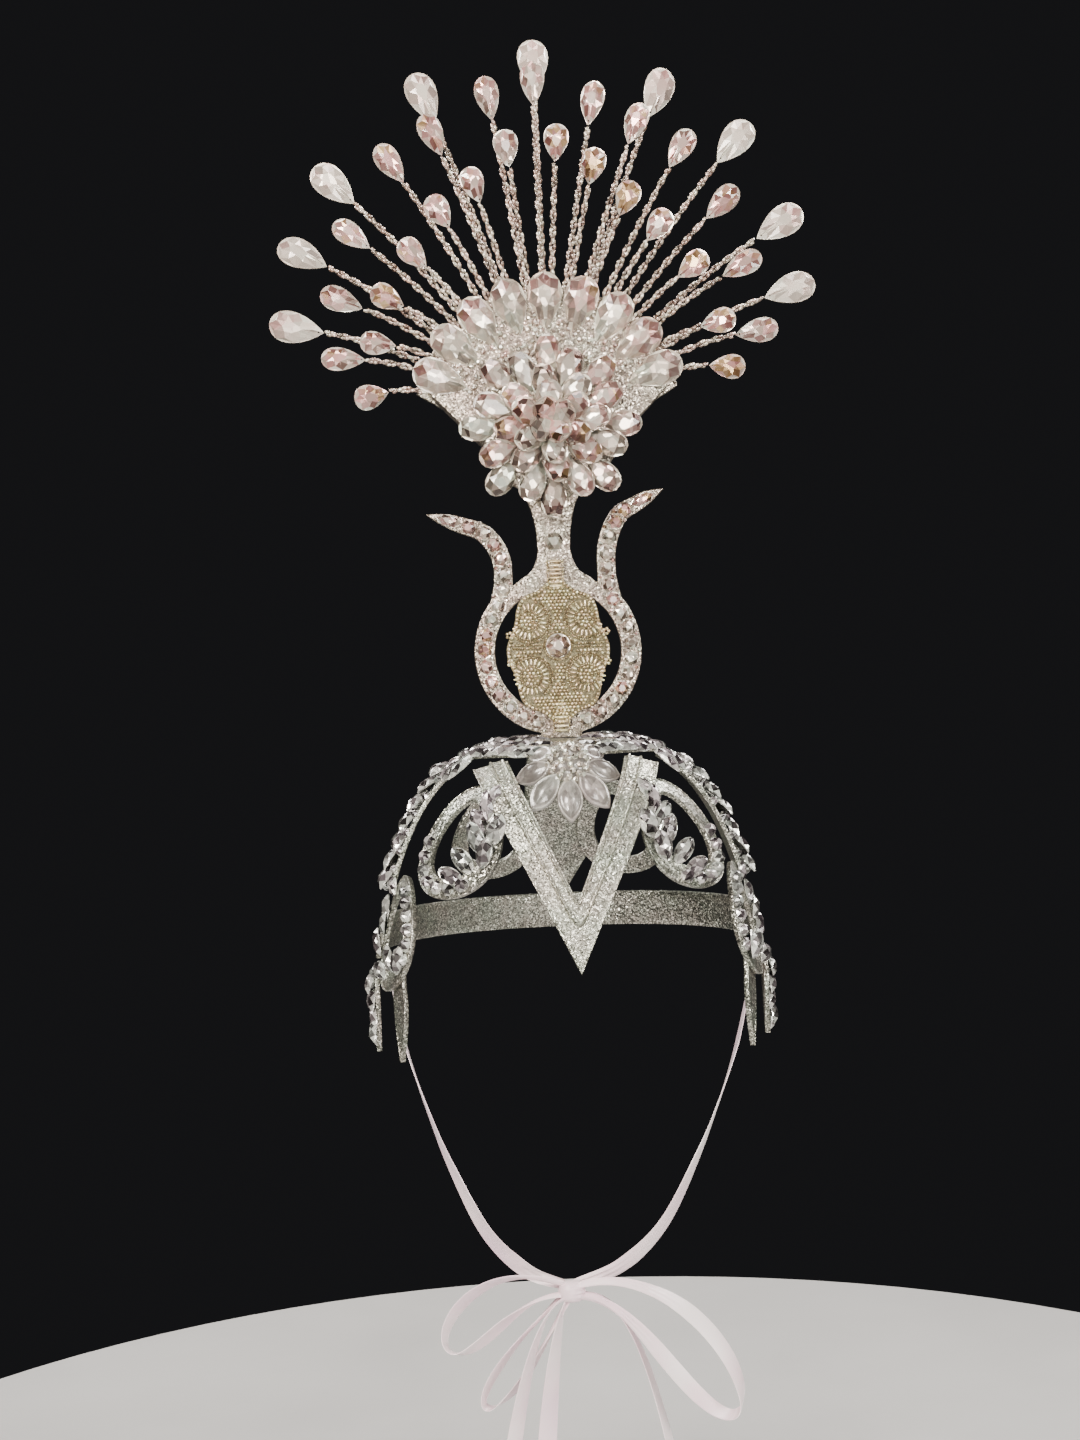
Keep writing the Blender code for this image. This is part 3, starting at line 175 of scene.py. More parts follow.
headForm = {
    "halfSpan": np.array([0.092, 0.102]), "crown": 0.103, "planPower": 2.3, "spreadPower": 3.8,
    "risePower": 1.2, "foam": 0.002, "gap": 0.0006, "firstLift": 0.0005, "clearance": 0.0003, "halvings": 40,
}
halfSpan, crown, foam, clearance = (headForm[key] for key in ("halfSpan", "crown", "foam", "clearance"))
planPower, spreadPower, risePower = (headForm[key] for key in ("planPower", "spreadPower", "risePower"))


def layerLift(number):
    # how far a layer's inner face lies off the form
    return headForm["firstLift"] + number * (foam + headForm["gap"])


def planShare(x, y):
    # ((x / half width)^2.3 + (y / half depth)^2.3)^(1 / 2.3)
    across, deep = (np.abs(x) / halfSpan[0]) ** planPower, (np.abs(y) / halfSpan[1]) ** planPower
    return (across + deep) ** (1 / planPower)


def levelShare(drop):
    # the plan share of the form's outline at a drop below the crown
    return (1 - (np.maximum(crown - drop, 0) / crown) ** risePower) ** (1 / spreadPower)


def onForm(rays, lift):
    # where each ray from the middle meets (plan share)^3.8 + (height / crown)^1.2 = 1, found by halving, then
    # raised along the surface's normal; gives the points and the normals
    rays = np.asarray(rays, float)
    plan = planShare(rays[..., 0], rays[..., 1])
    rise = np.maximum(rays[..., 2], 0) / crown
    low = np.zeros(plan.shape)
    high = 1 / np.maximum(np.maximum(plan, rise), 1e-9)
    for _ in range(headForm["halvings"]):
        middle = (low + high) / 2
        outside = (plan * middle) ** spreadPower + (rise * middle) ** risePower > 1
        high = np.where(outside, middle, high)
        low = np.where(outside, low, middle)
    points = rays * high[..., None]
    steep = (spreadPower * np.maximum(plan * high, 1e-6) ** (spreadPower - planPower))[..., None]
    flat = points[..., :2]
    sides = np.sign(flat) * steep * (np.abs(flat) / halfSpan) ** (planPower - 1) / halfSpan
    level = np.maximum(points[..., 2:], 0) / crown
    normals = unit(np.concatenate([sides, risePower * level ** (risePower - 1) / crown], axis=-1))
    lift = np.broadcast_to(lift, plan.shape)[..., None]
    return points + normals * lift - np.array([0, 0, crown]), normals


def frontRays(across, drop):
    # rays to the form's front at a sideways place and a drop below the crown
    rest = levelShare(drop) ** planPower - (np.abs(across) / halfSpan[0]) ** planPower
    return joined(across, -halfSpan[1] * np.maximum(rest, 0) ** (1 / planPower), crown - drop)


def sheetAt(azimuth, drop):
    # a flat sheet that touches the form at an azimuth and a drop, with its two directions
    turn = math.radians(azimuth)
    reach = levelShare(drop) / planShare(math.sin(turn), math.cos(turn))
    anchor = np.array([reach * math.sin(turn), -reach * math.cos(turn), crown - drop])
    normal = onForm(anchor, 0)[1]
    east = np.array([math.cos(turn), math.sin(turn), 0])
    east = unit(east - normal * east.dot(normal))
    north = unit(np.cross(normal, east))
    return {"anchor": anchor, "east": east, "north": north * np.sign(north[2])}


def sheetRays(sheet, across, up):
    # rays to the sheet's places
    across, up = (np.asarray(part)[..., None] for part in (across, up))
    return sheet["anchor"] + sheet["east"] * across + sheet["north"] * up


def onSheet(sheet, across, up, heading, lift, centred=0.0):
    # stone frames on a sheet: origin, direction along the heading, and normal
    across, up, heading = np.broadcast_arrays(across, up, np.radians(heading))
    origin, normal = onForm(sheetRays(sheet, across, up), lift)
    step = 0.001
    ahead = onForm(sheetRays(sheet, across + step * np.cos(heading), up + step * np.sin(heading)), lift)[0]
    along = unit(ahead - origin)
    return origin - along * centred, along, normal


# Materials


def feed(tree, node, inputs):
    # sets each of a node's inputs to a constant, or joins it to another node's output
    for key, value in inputs.items():
        if isinstance(value, bpy.types.NodeSocket):
            tree.links.new(value, node.inputs[key])
        else:
            node.inputs[key].default_value = value
    return node


def addNode(tree, kind, inputs, **settings):
    node = tree.nodes.new("ShaderNode" + kind)
    for key, value in settings.items():
        setattr(node, key, value)
    return feed(tree, node, inputs)


def newMaterial(name, colour, roughness, metallic=0.0, more=None):
    material = bpy.data.materials.new(name)
    material.use_nodes = True
    tree = material.node_tree
    plain = {"Base Color": (*colour, 1), "Roughness": roughness, "Metallic": metallic}
    return material, tree, feed(tree, tree.nodes["Principled BSDF"], {**plain, **(more or {})})


def ramp(tree, factor, stops):
    # colours at places from 0 to 1, each stop a place and its red, green and blue
    node = addNode(tree, "ValToRGB", {"Fac": factor})
    elements = node.color_ramp.elements
    while len(elements) < len(stops):
        elements.new(0.5)
    for element, (place, *colour) in zip(elements, stops):
        element.position = place
        element.color = (*colour, 1)
    return node.outputs["Color"]


def objectPattern(tree, kind, scale, **inputs):
    place = addNode(tree, "TexCoord", {}).outputs["Object"]
    return addNode(tree, kind, {"Vector": place, "Scale": scale, **inputs}).outputs


def multiply(tree, first, second):
    mix = addNode(tree, "Mix", {}, data_type="RGBA", blend_type="MULTIPLY")
    return feed(tree, mix, {"Factor": 1.0, "A": first, "B": second}).outputs["Result"]


def tipNormal(tree, colour, amount):
    # the surface normal plus the colour, centred on nought and scaled by the amount, made one long again
    centre = addNode(tree, "VectorMath", {0: colour, 1: (0.5, 0.5, 0.5)}, operation="SUBTRACT").outputs[0]
    tilt = addNode(tree, "VectorMath", {0: centre, "Scale": amount}, operation="SCALE").outputs[0]
    normal = addNode(tree, "NewGeometry", {}).outputs["Normal"]
    total = addNode(tree, "VectorMath", {0: normal, 1: tilt}, operation="ADD").outputs[0]
    return addNode(tree, "VectorMath", {0: total}, operation="NORMALIZE").outputs[0]


def glitterMaterial(name, look):
    # flakes are Voronoi cells: each one's random colour sets its brightness and tips its normal
    material, tree, shader = newMaterial(name, (0.72, 0.73, 0.74), look["roughness"], look["metallic"])
    flakes = objectPattern(tree, "TexVoronoi", 1 / look["flakeSize"])["Color"]
    chance = addNode(tree, "SeparateColor", {"Color": flakes}).outputs["Red"]
    cloud = objectPattern(tree, "TexNoise", 60.0, Detail=3.0)["Fac"]
    colour = multiply(tree, ramp(tree, chance, look["stops"]), ramp(tree, cloud, look["wash"]))
    feed(tree, shader, {"Base Color": colour, "Normal": tipNormal(tree, flakes, look["tilt"])})
    return material


def stoneMaterial(name, look):
    # a facet's tint value sets its brightness, which holds painted facet light and shade besides random tone,
    # and its hue value the colour laid over it; Voronoi cells add painted broken reflections as seen inside a
    # cut stone, and a swirl of noise shifts the hue
    coat = {"Coat Weight": look["coat"], "Coat Roughness": 0.05}
    material, tree, shader = newMaterial(name, (0.9, 0.87, 0.86), look["roughness"], look["metallic"], coat)

    def shifted(value, amount, base):
        # the base value plus the other one, centred on nought and scaled by the amount
        centred = {0: value, 1: amount, 2: -amount / 2}
        shift = addNode(tree, "Math", centred, operation="MULTIPLY_ADD").outputs[0]
        return addNode(tree, "Math", {0: base, 1: shift}, operation="ADD", use_clamp=True).outputs[0]

    bright, hue = (
        addNode(tree, "Attribute", {}, attribute_name=label).outputs["Fac"] for label in ("tint", "hue"))
    swirl = objectPattern(tree, "TexNoise", look["swirl"], Detail=1.5, Distortion=1.2)["Fac"]
    dye = shifted(swirl, look["shift"], hue)
    if "shards" in look:
        size, depth, stain, tilt = look["shards"]
        shards = objectPattern(tree, "TexVoronoi", 1 / size)["Color"]
        split = addNode(tree, "SeparateColor", {"Color": shards}).outputs
        bright = shifted(split["Red"], depth, bright)
        dye = shifted(split["Green"], stain, dye)
        feed(tree, shader, {"Normal": tipNormal(tree, shards, tilt)})
    colour = multiply(tree, ramp(tree, bright, look["stops"]), ramp(tree, dye, look["hues"]))
    feed(tree, shader, {"Base Color": colour})
    return material


def satinMaterial(name):
    # fine warp lines across the ribbon's own width, with a slow change from white to pale pink
    sheen = {"Sheen Weight": 0.45, "Sheen Roughness": 0.30, "Specular IOR Level": 0.8}
    material, tree, shader = newMaterial(name, (0.90, 0.78, 0.80), 0.30, 0.0, sheen)
    cloud = objectPattern(tree, "TexNoise", 22.0, Detail=2.0)["Fac"]
    colour = ramp(tree, cloud, ((0.35, 0.90, 0.80, 0.80), (0.52, 0.86, 0.68, 0.72), (0.68, 0.76, 0.56, 0.65)))
    lay = addNode(tree, "UVMap", {}, uv_map="lay").outputs["UV"]
    warp = {"Scale": 900.0, "Distortion": 0.6, "Vector": lay}
    thread = addNode(tree, "TexWave", warp, bands_direction="Y").outputs["Fac"]
    bump = addNode(tree, "Bump", {"Strength": 0.18, "Distance": 0.0002, "Height": thread}).outputs["Normal"]
    feed(tree, shader, {"Base Color": colour, "Normal": bump})
    return material


capGlitter = {
    "flakeSize": 0.00060, "tilt": 0.55, "roughness": 0.30, "metallic": 0.75,
    "stops": ((0.0, 0.056, 0.058, 0.052), (0.40, 0.20, 0.20, 0.175), (0.78, 0.43, 0.425, 0.37),
              (1.0, 1.0, 0.98, 0.88)),
    "wash": ((0.35, 0.90, 0.97, 0.92), (0.65, 1.0, 0.95, 0.94)),
}
vGlitter = {
    **capGlitter,
    "stops": ((0.0, 0.075, 0.076, 0.067), (0.36, 0.27, 0.266, 0.228), (0.74, 0.56, 0.55, 0.47),
              (1.0, 1.0, 0.98, 0.87)),
}
crestGlitter = {
    "flakeSize": 0.00065, "tilt": 0.60, "roughness": 0.28, "metallic": 0.75,
    "stops": ((0.0, 0.10, 0.085, 0.078), (0.35, 0.30, 0.260, 0.222), (0.78, 0.55, 0.487, 0.412),
              (1.0, 1.0, 0.93, 0.82)),
    "wash": ((0.35, 1.0, 0.90, 0.88), (0.65, 0.96, 1.0, 0.94)),
}
matGlitter = {
    "flakeSize": 0.00060, "tilt": 0.45, "roughness": 0.50, "metallic": 0.35,
    "stops": ((0.0, 0.06, 0.048, 0.024), (0.5, 0.13, 0.105, 0.055), (1.0, 0.28, 0.24, 0.14)),
    "wash": ((0.35, 1.0, 0.98, 0.94), (0.65, 0.96, 1.0, 0.97)),
}
# shards: their size, how much they change brightness and hue, and how far they tip the normal
clearLook = {
    "roughness": 0.20, "metallic": 0.55, "coat": 0.80, "swirl": 130.0, "shift": 0.40,
    "shards": (0.0034, 0.44, 0.30, 0.50),
    "hues": ((0.0, 0.84, 0.96, 0.90), (0.22, 0.97, 0.96, 0.92), (0.40, 1.0, 0.92, 0.88),
             (0.58, 0.98, 0.72, 0.72), (0.74, 0.92, 0.52, 0.54), (0.88, 0.90, 0.68, 0.42),
             (1.0, 0.66, 0.48, 0.26)),
    "stops": ((0.0, 0.10, 0.075, 0.065), (0.20, 0.31, 0.262, 0.225), (0.54, 0.63, 0.572, 0.505),
              (1.0, 1.0, 0.97, 0.89)),
}
pearlLook = {
    **clearLook, "roughness": 0.24, "metallic": 0.45, "swirl": 70.0, "shards": (0.0034, 0.26, 0.16, 0.34),
    "stops": ((0.0, 0.20, 0.165, 0.15), (0.30, 0.40, 0.352, 0.302), (0.62, 0.60, 0.547, 0.477),
              (1.0, 1.0, 0.96, 0.86)),
}
dropLook = {
    **clearLook, "roughness": 0.18, "metallic": 0.45, "swirl": 90.0, "shards": (0.0058, 0.30, 0.30, 0.32),
    "stops": ((0.0, 0.20, 0.145, 0.125), (0.20, 0.42, 0.345, 0.305), (0.54, 0.74, 0.665, 0.60),
              (1.0, 1.0, 0.97, 0.91)),
}
milkLook = {
    **pearlLook, "roughness": 0.30, "metallic": 0.30, "shards": (0.0090, 0.18, 0.12, 0.22),
    "stops": ((0.0, 0.30, 0.255, 0.235), (0.30, 0.52, 0.465, 0.415), (0.62, 0.74, 0.69, 0.62),
              (1.0, 1.0, 0.97, 0.90)),
}
smokyLook = {
    "roughness": 0.14, "metallic": 0.50, "coat": 0.70, "swirl": 130.0, "shift": 0.24,
    "shards": (0.0028, 0.45, 0.20, 0.30),
    "hues": ((0.0, 0.88, 0.98, 0.93), (0.35, 0.98, 0.98, 0.95), (0.70, 0.98, 0.88, 0.92),
             (1.0, 0.84, 0.72, 0.80)),
    "stops": ((0.0, 0.022, 0.020, 0.020), (0.30, 0.10, 0.092, 0.095), (0.58, 0.28, 0.28, 0.27),
              (1.0, 0.84, 0.84, 0.81)),
}
frostLook = {
    "roughness": 0.26, "metallic": 0.15, "coat": 0.50, "swirl": 90.0, "shift": 0.80,
    "shards": (0.0050, 0.20, 0.20, 0.16),
    "hues": ((0.0, 0.90, 0.97, 0.92), (0.45, 0.97, 0.95, 0.92), (1.0, 0.96, 0.84, 0.86)),
    "stops": ((0.0, 0.05, 0.046, 0.044), (0.45, 0.14, 0.128, 0.120), (1.0, 0.62, 0.59, 0.55)),
}
seedLook = {
    "roughness": 0.18, "metallic": 0.60, "coat": 0.8, "swirl": 300.0, "shift": 0.25,
    "hues": ((0.0, 0.94, 0.94, 0.82), (0.45, 0.97, 0.88, 0.80), (0.80, 0.95, 0.76, 0.72),
             (1.0, 0.88, 0.68, 0.56)),
    "stops": ((0.0, 0.18, 0.15, 0.135), (0.30, 0.46, 0.41, 0.375), (0.70, 0.70, 0.645, 0.595),
              (1.0, 1.0, 0.96, 0.91)),
}
goldLook = {
    "roughness": 0.22, "metallic": 0.60, "coat": 0.7, "swirl": 200.0, "shift": 0.3,
    "hues": ((0.0, 0.93, 0.93, 0.70), (0.50, 0.98, 0.88, 0.68), (1.0, 1.0, 0.82, 0.68)),
    "stops": ((0.0, 0.17, 0.135, 0.075), (0.32, 0.44, 0.38, 0.265), (0.66, 0.80, 0.74, 0.58),
              (1.0, 1.0, 0.97, 0.86)),
}
# the sewing holes' dark beads: painted shade inside each hole
holeShadeLook = {**smokyLook, "stops": ((0.0, 0.03, 0.025, 0.02), (1.0, 0.10, 0.09, 0.08))}

glitter = glitterMaterial("greySilverGlitterFoam", capGlitter)
vSilver = glitterMaterial("brightSilverGlitterFoam", vGlitter)
crestSilver = glitterMaterial("rosySilverGlitterBoard", crestGlitter)
crystal = stoneMaterial("clearCutStone", clearLook)
smoky = stoneMaterial("smokyCutStone", smokyLook)
frosted = stoneMaterial("frostedPetalStone", frostLook)
beadSilver = stoneMaterial("silverLinedBead", seedLook)
beadGold = stoneMaterial("champagneBead", goldLook)
goldMat = glitterMaterial("champagneMat", matGlitter)
satin = satinMaterial("palePinkSatin")
pearly = stoneMaterial("pearlyCutStone", pearlLook)
dropCrystal = stoneMaterial("clearDropStone", dropLook)
milky = stoneMaterial("milkyDropStone", milkLook)
holeShade = stoneMaterial("sewingHoleShade", holeShadeLook)
print("materials made")

# Cut stones and beads

leafPower = {"navette": 1.25, "petal": 1.62}
pearPower = 0.85


def outlineOf(kind, turns):
    # outline at a turn t from the tip: x = (1 - cos t) / 2, y = half width times a power of sin t that
    # makes it round, pointed at both ends, or pointed at the tip alone
    wave = np.sin(turns)
    if kind == "round":
        half = wave / 2
    elif kind in leafPower:
        half = np.sign(wave) * np.abs(wave) ** leafPower[kind] / 2
    else:
        fine = np.linspace(0, np.pi, 400)
        widest = np.max(np.sin(fine) * np.sin(fine / 2) ** pearPower)
        half = wave * np.abs(np.sin(turns / 2)) ** pearPower / widest / 2
    return joined((1 - np.cos(turns)) / 2, half)


def cutTable(points, rows):
    # a cut's points and its blocks of faces, with each block's brightness, share of dye and place along it
    faces, bright, dyed = zip(*rows)
    reach = [points[block][..., 0].mean(axis=1) for block in faces]
    return {"points": points, "faces": faces, "reach": reach, "bright": bright, "dyed": dyed}


def cutOf(kind, table, middle, sectors=8, per=3, rise=0.70, girdle=0.16, back=0.0, rim=0.66):
    # rings: the outline below and above the girdle, a middle ring half a sector on, and the table; facets are
    # a row of triangles on the girdle, kites up to the table, star triangles beside it, and the table
    corners = sectors * per
    centre = np.array([0.60 if kind == "pear" else 0.5, 0.0])
    k, a = np.arange(sectors), np.arange(corners)

    def ring(steps, share, height):
        places = centre + (outlineOf(kind, 2 * np.pi * steps / sectors) - centre) * share
        return np.column_stack([places, np.full(len(places), height)])

    points = [ring(a / per, 1.0, 0.0), ring(a / per, 1.0, girdle),
              ring(k + 0.5, middle, girdle + (1 - girdle) * rise), ring(k, table, 1.0)]
    high, mid, top = corners, 2 * corners, 2 * corners + sectors
    after, before, b = (k + 1) % sectors, (k - 1) % sectors, (a + 1) % corners
    edges = high + (k[:, None] * per + np.arange(per + 1)[None, :]) % corners
    # each row of facets takes a fixed brightness, painted reflections of a cut stone: the girdle row and wall
    # at the rim value, a painted glint when it is high and painted shade when it is low, the kites and the
    # flat bottom darkest, the star triangles and the back in between, the table lightest
    rows = [
        (np.column_stack([edges, mid + k]), rim, 0.25),
        (joined(mid + before, edges[:, 0], mid + k, top + k), 0.30, 1.0),
        (joined(mid + k, top + after, top + k), 0.50, 0.9),
        ((top + k)[None, :], 0.62, 0.8),
        (joined(a, b, high + b, high + a), rim, 0.2),
    ]
    if back:
        points.append([[centre[0], 0.0, -back]])
        rows.append((np.column_stack([edges[:, ::-1] - corners, np.full(sectors, top + sectors)]), 0.5, 0.5))
    else:
        rows.append((a[::-1][None, :], 0.3, 0.2))
    return cutTable(np.vstack(points), rows)


def pillowOf(kind, corners):
    # a smooth cushion with a raised lip: rings of the outline at these shares and heights; each band between
    # them has a painted brightness, a painted highlight on the lip and painted shade on the slope inside it
    shares = np.array([0.05, 1, 1, 0.95, 0.90, 0.84, 0.60, 0.34, 0.10])
    heights = np.array([0, 0, 0.30, 0.54, 0.60, 0.56, 0.76, 0.92, 1.0])
    ringLightAndShade = np.array([0.35, 0.62, 0.72, 0.74, 0.62, 0.46, 0.50, 0.56])
    centre = np.array([0.5, 0.0])
    outline = centre + (outlineOf(kind, fullTurn(corners)) - centre) * shares[:, None, None]
    points = joined(outline[..., 0], outline[..., 1], heights[:, None]).reshape(-1, 3)
    sides, ends = tubeFaces(len(shares), corners)
    return cutTable(points, [(sides, np.repeat(ringLightAndShade, corners), 1.0), (ends, 0.45, 1.0)])


# a stone is up to tipHighlight brighter before tipEnd, a painted highlight towards the tip, and darkens by
# its roundEndShade over roundEndShadeOver from roundEndShadeFrom on, painted shade at the round end; its
# facets' hues wander about its own, which counts from plainHue by the facet's share of dye
stoneShade = {
    "tipHighlight": 0.30, "tipEnd": 0.4, "roundEndShadeFrom": 0.55, "roundEndShadeOver": 0.3, "plainHue": 0.25, "wander": 0.10,
}
plainStone = {"hues": (0.2, 0.4), "blush": 0.0, "contrast": 0.5, "roundEndShade": 0.0, "body": 0.10}


def setStones(name, cut, places, material, seed, smooth=False, **change):
    # every stone's point is its place plus its length, width and height shares along its own directions;
    # contrast is between facets and body between stones, and blush moves the hue of the round end
    look, shade = {**plainStone, **change}, stoneShade
    origin, along, normal, size = places
    count = len(origin)
    along = unit(along)
    across = unit(np.cross(normal, along))
    up = np.cross(along, across)
    shares = cut["points"][None, :, :] * size[:, None, :]
    points = origin[:, None, :] + np.einsum("nps,nsd->npd", shares, np.stack([along, across, up], axis=1))
    faces = copiedFaces(cut["faces"], count, len(cut["points"]))
    chance = np.random.default_rng(seed)
    whole = chance.uniform(-look["body"], look["body"], count)[:, None]
    own = chance.uniform(*look["hues"], count)[:, None] - shade["plainHue"]
    tint, hue = [], []
    for block, reach, bright, dyed in zip(cut["faces"], cut["reach"], cut["bright"], cut["dyed"]):
        facet = chance.uniform(-look["contrast"], look["contrast"], (count, len(block)))
        # the tip's painted highlight and the round end's painted shade, as a brightness along the stone
        roundEndShadeShare = np.clip((reach - shade["roundEndShadeFrom"]) / shade["roundEndShadeOver"], 0, 1)
        ends = shade["tipHighlight"] * np.maximum(shade["tipEnd"] - reach, 0) - look["roundEndShade"] * roundEndShadeShare
        tint.append(np.clip(bright + whole + facet + ends[None, :], 0, 1).ravel())
        wander = chance.uniform(-shade["wander"], shade["wander"], (count, len(block)))
        blush = look["blush"] * (reach - shade["tipEnd"])[None, :]
        hue.append(np.clip(shade["plainHue"] + (own + blush) * dyed + wander, 0, 1).ravel())
    return meshPiece(name, points, faces, material, tint=np.concatenate(tint),
                     hue=np.concatenate(hue), sharp=60.0, flat=not smooth)


def tipped(along, normal, seed, roll, pitch):
    # small seeded turns of each stone about its own length and across it, as hand gluing gives
    chance = np.random.default_rng(seed)
    along, normal = rowsOf(along, normal)
    along = unit(along)
    across = unit(np.cross(normal, along))
    up = np.cross(along, across)
    a, b = (np.radians(chance.uniform(-most, most, len(along)))[:, None] for most in (roll, pitch))
    newAlong = along * np.cos(b) + up * np.sin(b)
    return newAlong, unit(np.cross(newAlong, across)) * np.cos(a) + across * np.sin(a)


stoneBags = {}


def addStones(bag, origin, along, normal, size):
    # gathers stones of one cut from all over the piece, to be set as one field at the end
    origin, along, normal = rowsOf(origin, along, normal)
    size = np.broadcast_to(np.asarray(size, float), origin.shape)
    stoneBags.setdefault(bag, []).append((origin, along, normal, size))


def gathered(bag):
    return [np.vstack(part) for part in zip(*stoneBags[bag])]


# rings of a bead: share of its length from the middle, share of its width
beadLook = {"rings": ((-0.48, 0.34), (0.0, 0.5), (0.48, 0.34)), "sides": 6}


def setBeads(name, centres, axes, length, width, material, seed, spread=(0.0, 1.0)):
    # short barrels: three rings along the axis, the middle one full width, with flat ends
    axes = unit(np.broadcast_to(axes, centres.shape))
    helper = np.where(np.abs(axes[:, 2:3]) > 0.8, [[1.0, 0, 0]], [[0, 0, 1.0]])
    u = unit(np.cross(axes, helper))
    v = np.cross(axes, u)
    turn = fullTurn(beadLook["sides"])
    circle = u[:, None, :] * np.cos(turn)[None, :, None] + v[:, None, :] * np.sin(turn)[None, :, None]
    middles = centres[:, None, :]
    points = np.stack([middles + axes[:, None, :] * share * length + circle * radius * width
                       for share, radius in beadLook["rings"]], axis=1)
    blocks = tubeFaces(len(beadLook["rings"]), beadLook["sides"])
    faces = copiedFaces(blocks, len(centres), len(beadLook["rings"]) * beadLook["sides"])
    chance = np.random.default_rng(seed)
    drawn = [chance.uniform(*reach, len(centres)) for reach in (spread, (0.0, 1.0))]
    tint, hue = (np.concatenate([np.repeat(values, len(block)) for block in blocks]) for values in drawn)
    return meshPiece(name, points, faces, material, tint=tint, hue=hue, sharp=80.0)


# Cap: foam bands on the head form

foamProfile = {
    "across": np.array([-0.96, -0.5, 0, 0.5, 0.96, 1, 1, 0.985, 0.94, 0.89, 0.84, 0.4, 0, -0.4, -0.84, -0.89,
                        -0.94, -0.985, -1, -1]),
    "height": np.array([0, 0, 0, 0, 0, 0.15, 0.95, 1.16, 1.22, 1.14, 1, 1, 1, 1, 1, 1.14, 1.22,
                        1.16, 0.95, 0.15]),
}
stoneSink = 0.0004
handTurns = (12, 6)
hands = (("right", -1), ("left", 1))


def foamPiece(name, node, rings, closed=False, material=glitter, sharp=50.0):
    # rings of points as one piece that stands for a node
    faces = tubeFaces(*rings.shape[:2], closed)
    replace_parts(meshPiece(name, rings, faces, material, sharp=sharp), node)


def foamBand(name, node, sheet, line, widths, lifts, closed=False):
    # a strip with a raised rim: at each place of the line, the profile is laid across and pressed on the form
    if closed:
        along = unit(np.roll(line, -1, axis=0) - np.roll(line, 1, axis=0))
    else:
        along = unit(np.gradient(line, axis=0))
    side = joined(-along[:, 1], along[:, 0])
    widths, lifts = (np.broadcast_to(values, len(line))[:, None] for values in (widths, lifts))
    across = foamProfile["across"][None, :] * widths / 2
    spot = line[:, None, :] + side[:, None, :] * across[..., None]
    rays = sheetRays(sheet, spot[..., 0], spot[..., 1])
    foamPiece(name, node, onForm(rays, lifts + foamProfile["height"][None, :] * foam)[0], closed)


def raisedBy(degrees, along, normal):
    # a direction turned towards the normal by an angle, and the normal back by the same
    turn = math.radians(degrees)
    return along * math.cos(turn) + normal * math.sin(turn), normal * math.cos(turn) - along * math.sin(turn)


def layOnSheet(bag, sheet, across, up, heading, top, size, seed, centred=0.0, raised=0.0):
    # stones laid on a sheet by place and heading, raised at the far end by a turn towards the normal
    origin, along, normal = onSheet(sheet, across, up, heading, top, centred)
    addStones(bag, origin, *tipped(*raisedBy(raised, along, normal), seed, *handTurns), size)


# turns go round a loop from its top, first down the side that faces the V, in degrees; a sprig's stones are
# turn, way in from the loop's line, lean from straight up, length and width
loopLook = {
    "band": 0.0095, "roundStone": 0.0070, "roundHeight": 0.0040, "roundGap": 0.0004, "pinch": 0.28,
    "leafRaise": 0.0006, "leafTilt": 9, "leafHeight": 0.5,
    "front": {
        "azimuth": 38.0, "drop": 0.036, "half": (0.0185, 0.0245), "layer": 1, "rounds": (150, 284),
        "sprig": ((50, 0.0030, 20, 0.0150, 0.0078), (68, 0.0020, -16, 0.0165, 0.0084),
                  (84, 0.0040, -40, 0.0150, 0.0080), (98, 0.0005, 10, 0.0155, 0.0098),
                  (112, 0.0035, -34, 0.0170, 0.0086), (128, 0.0005, 4, 0.0150, 0.0088),
                  (140, 0.0030, -50, 0.0160, 0.0082), (158, 0.0010, -66, 0.0140, 0.0076)),
    },
    "side": {
        "azimuth": 68.0, "drop": 0.080, "half": (0.0240, 0.0235), "layer": 0, "rounds": (22, 128),
        "sprig": ((142, -0.0010, 22, 0.0155, 0.0078), (150, 0.0026, -30, 0.0140, 0.0066),
                  (178, 0.0010, -62, 0.0150, 0.0072), (206, 0.0010, -96, 0.0140, 0.0068),
                  (236, 0.0000, -20, 0.0150, 0.0070), (262, 0.0030, 24, 0.0130, 0.0062),
                  (280, -0.0010, -14, 0.0140, 0.0066), (318, 0.0000, -40, 0.0130, 0.0062)),
    },
    "back": {"azimuth": 157.0, "drop": 0.040, "half": (0.0185, 0.0245), "layer": 1},
}


def loopLine(half, turns):
    # an oval that is narrower at the top, by a share that goes with the cosine of the turn
    return joined(half[0] * np.sin(turns) * (1 - loopLook["pinch"] * np.cos(turns)), half[1] * np.cos(turns))


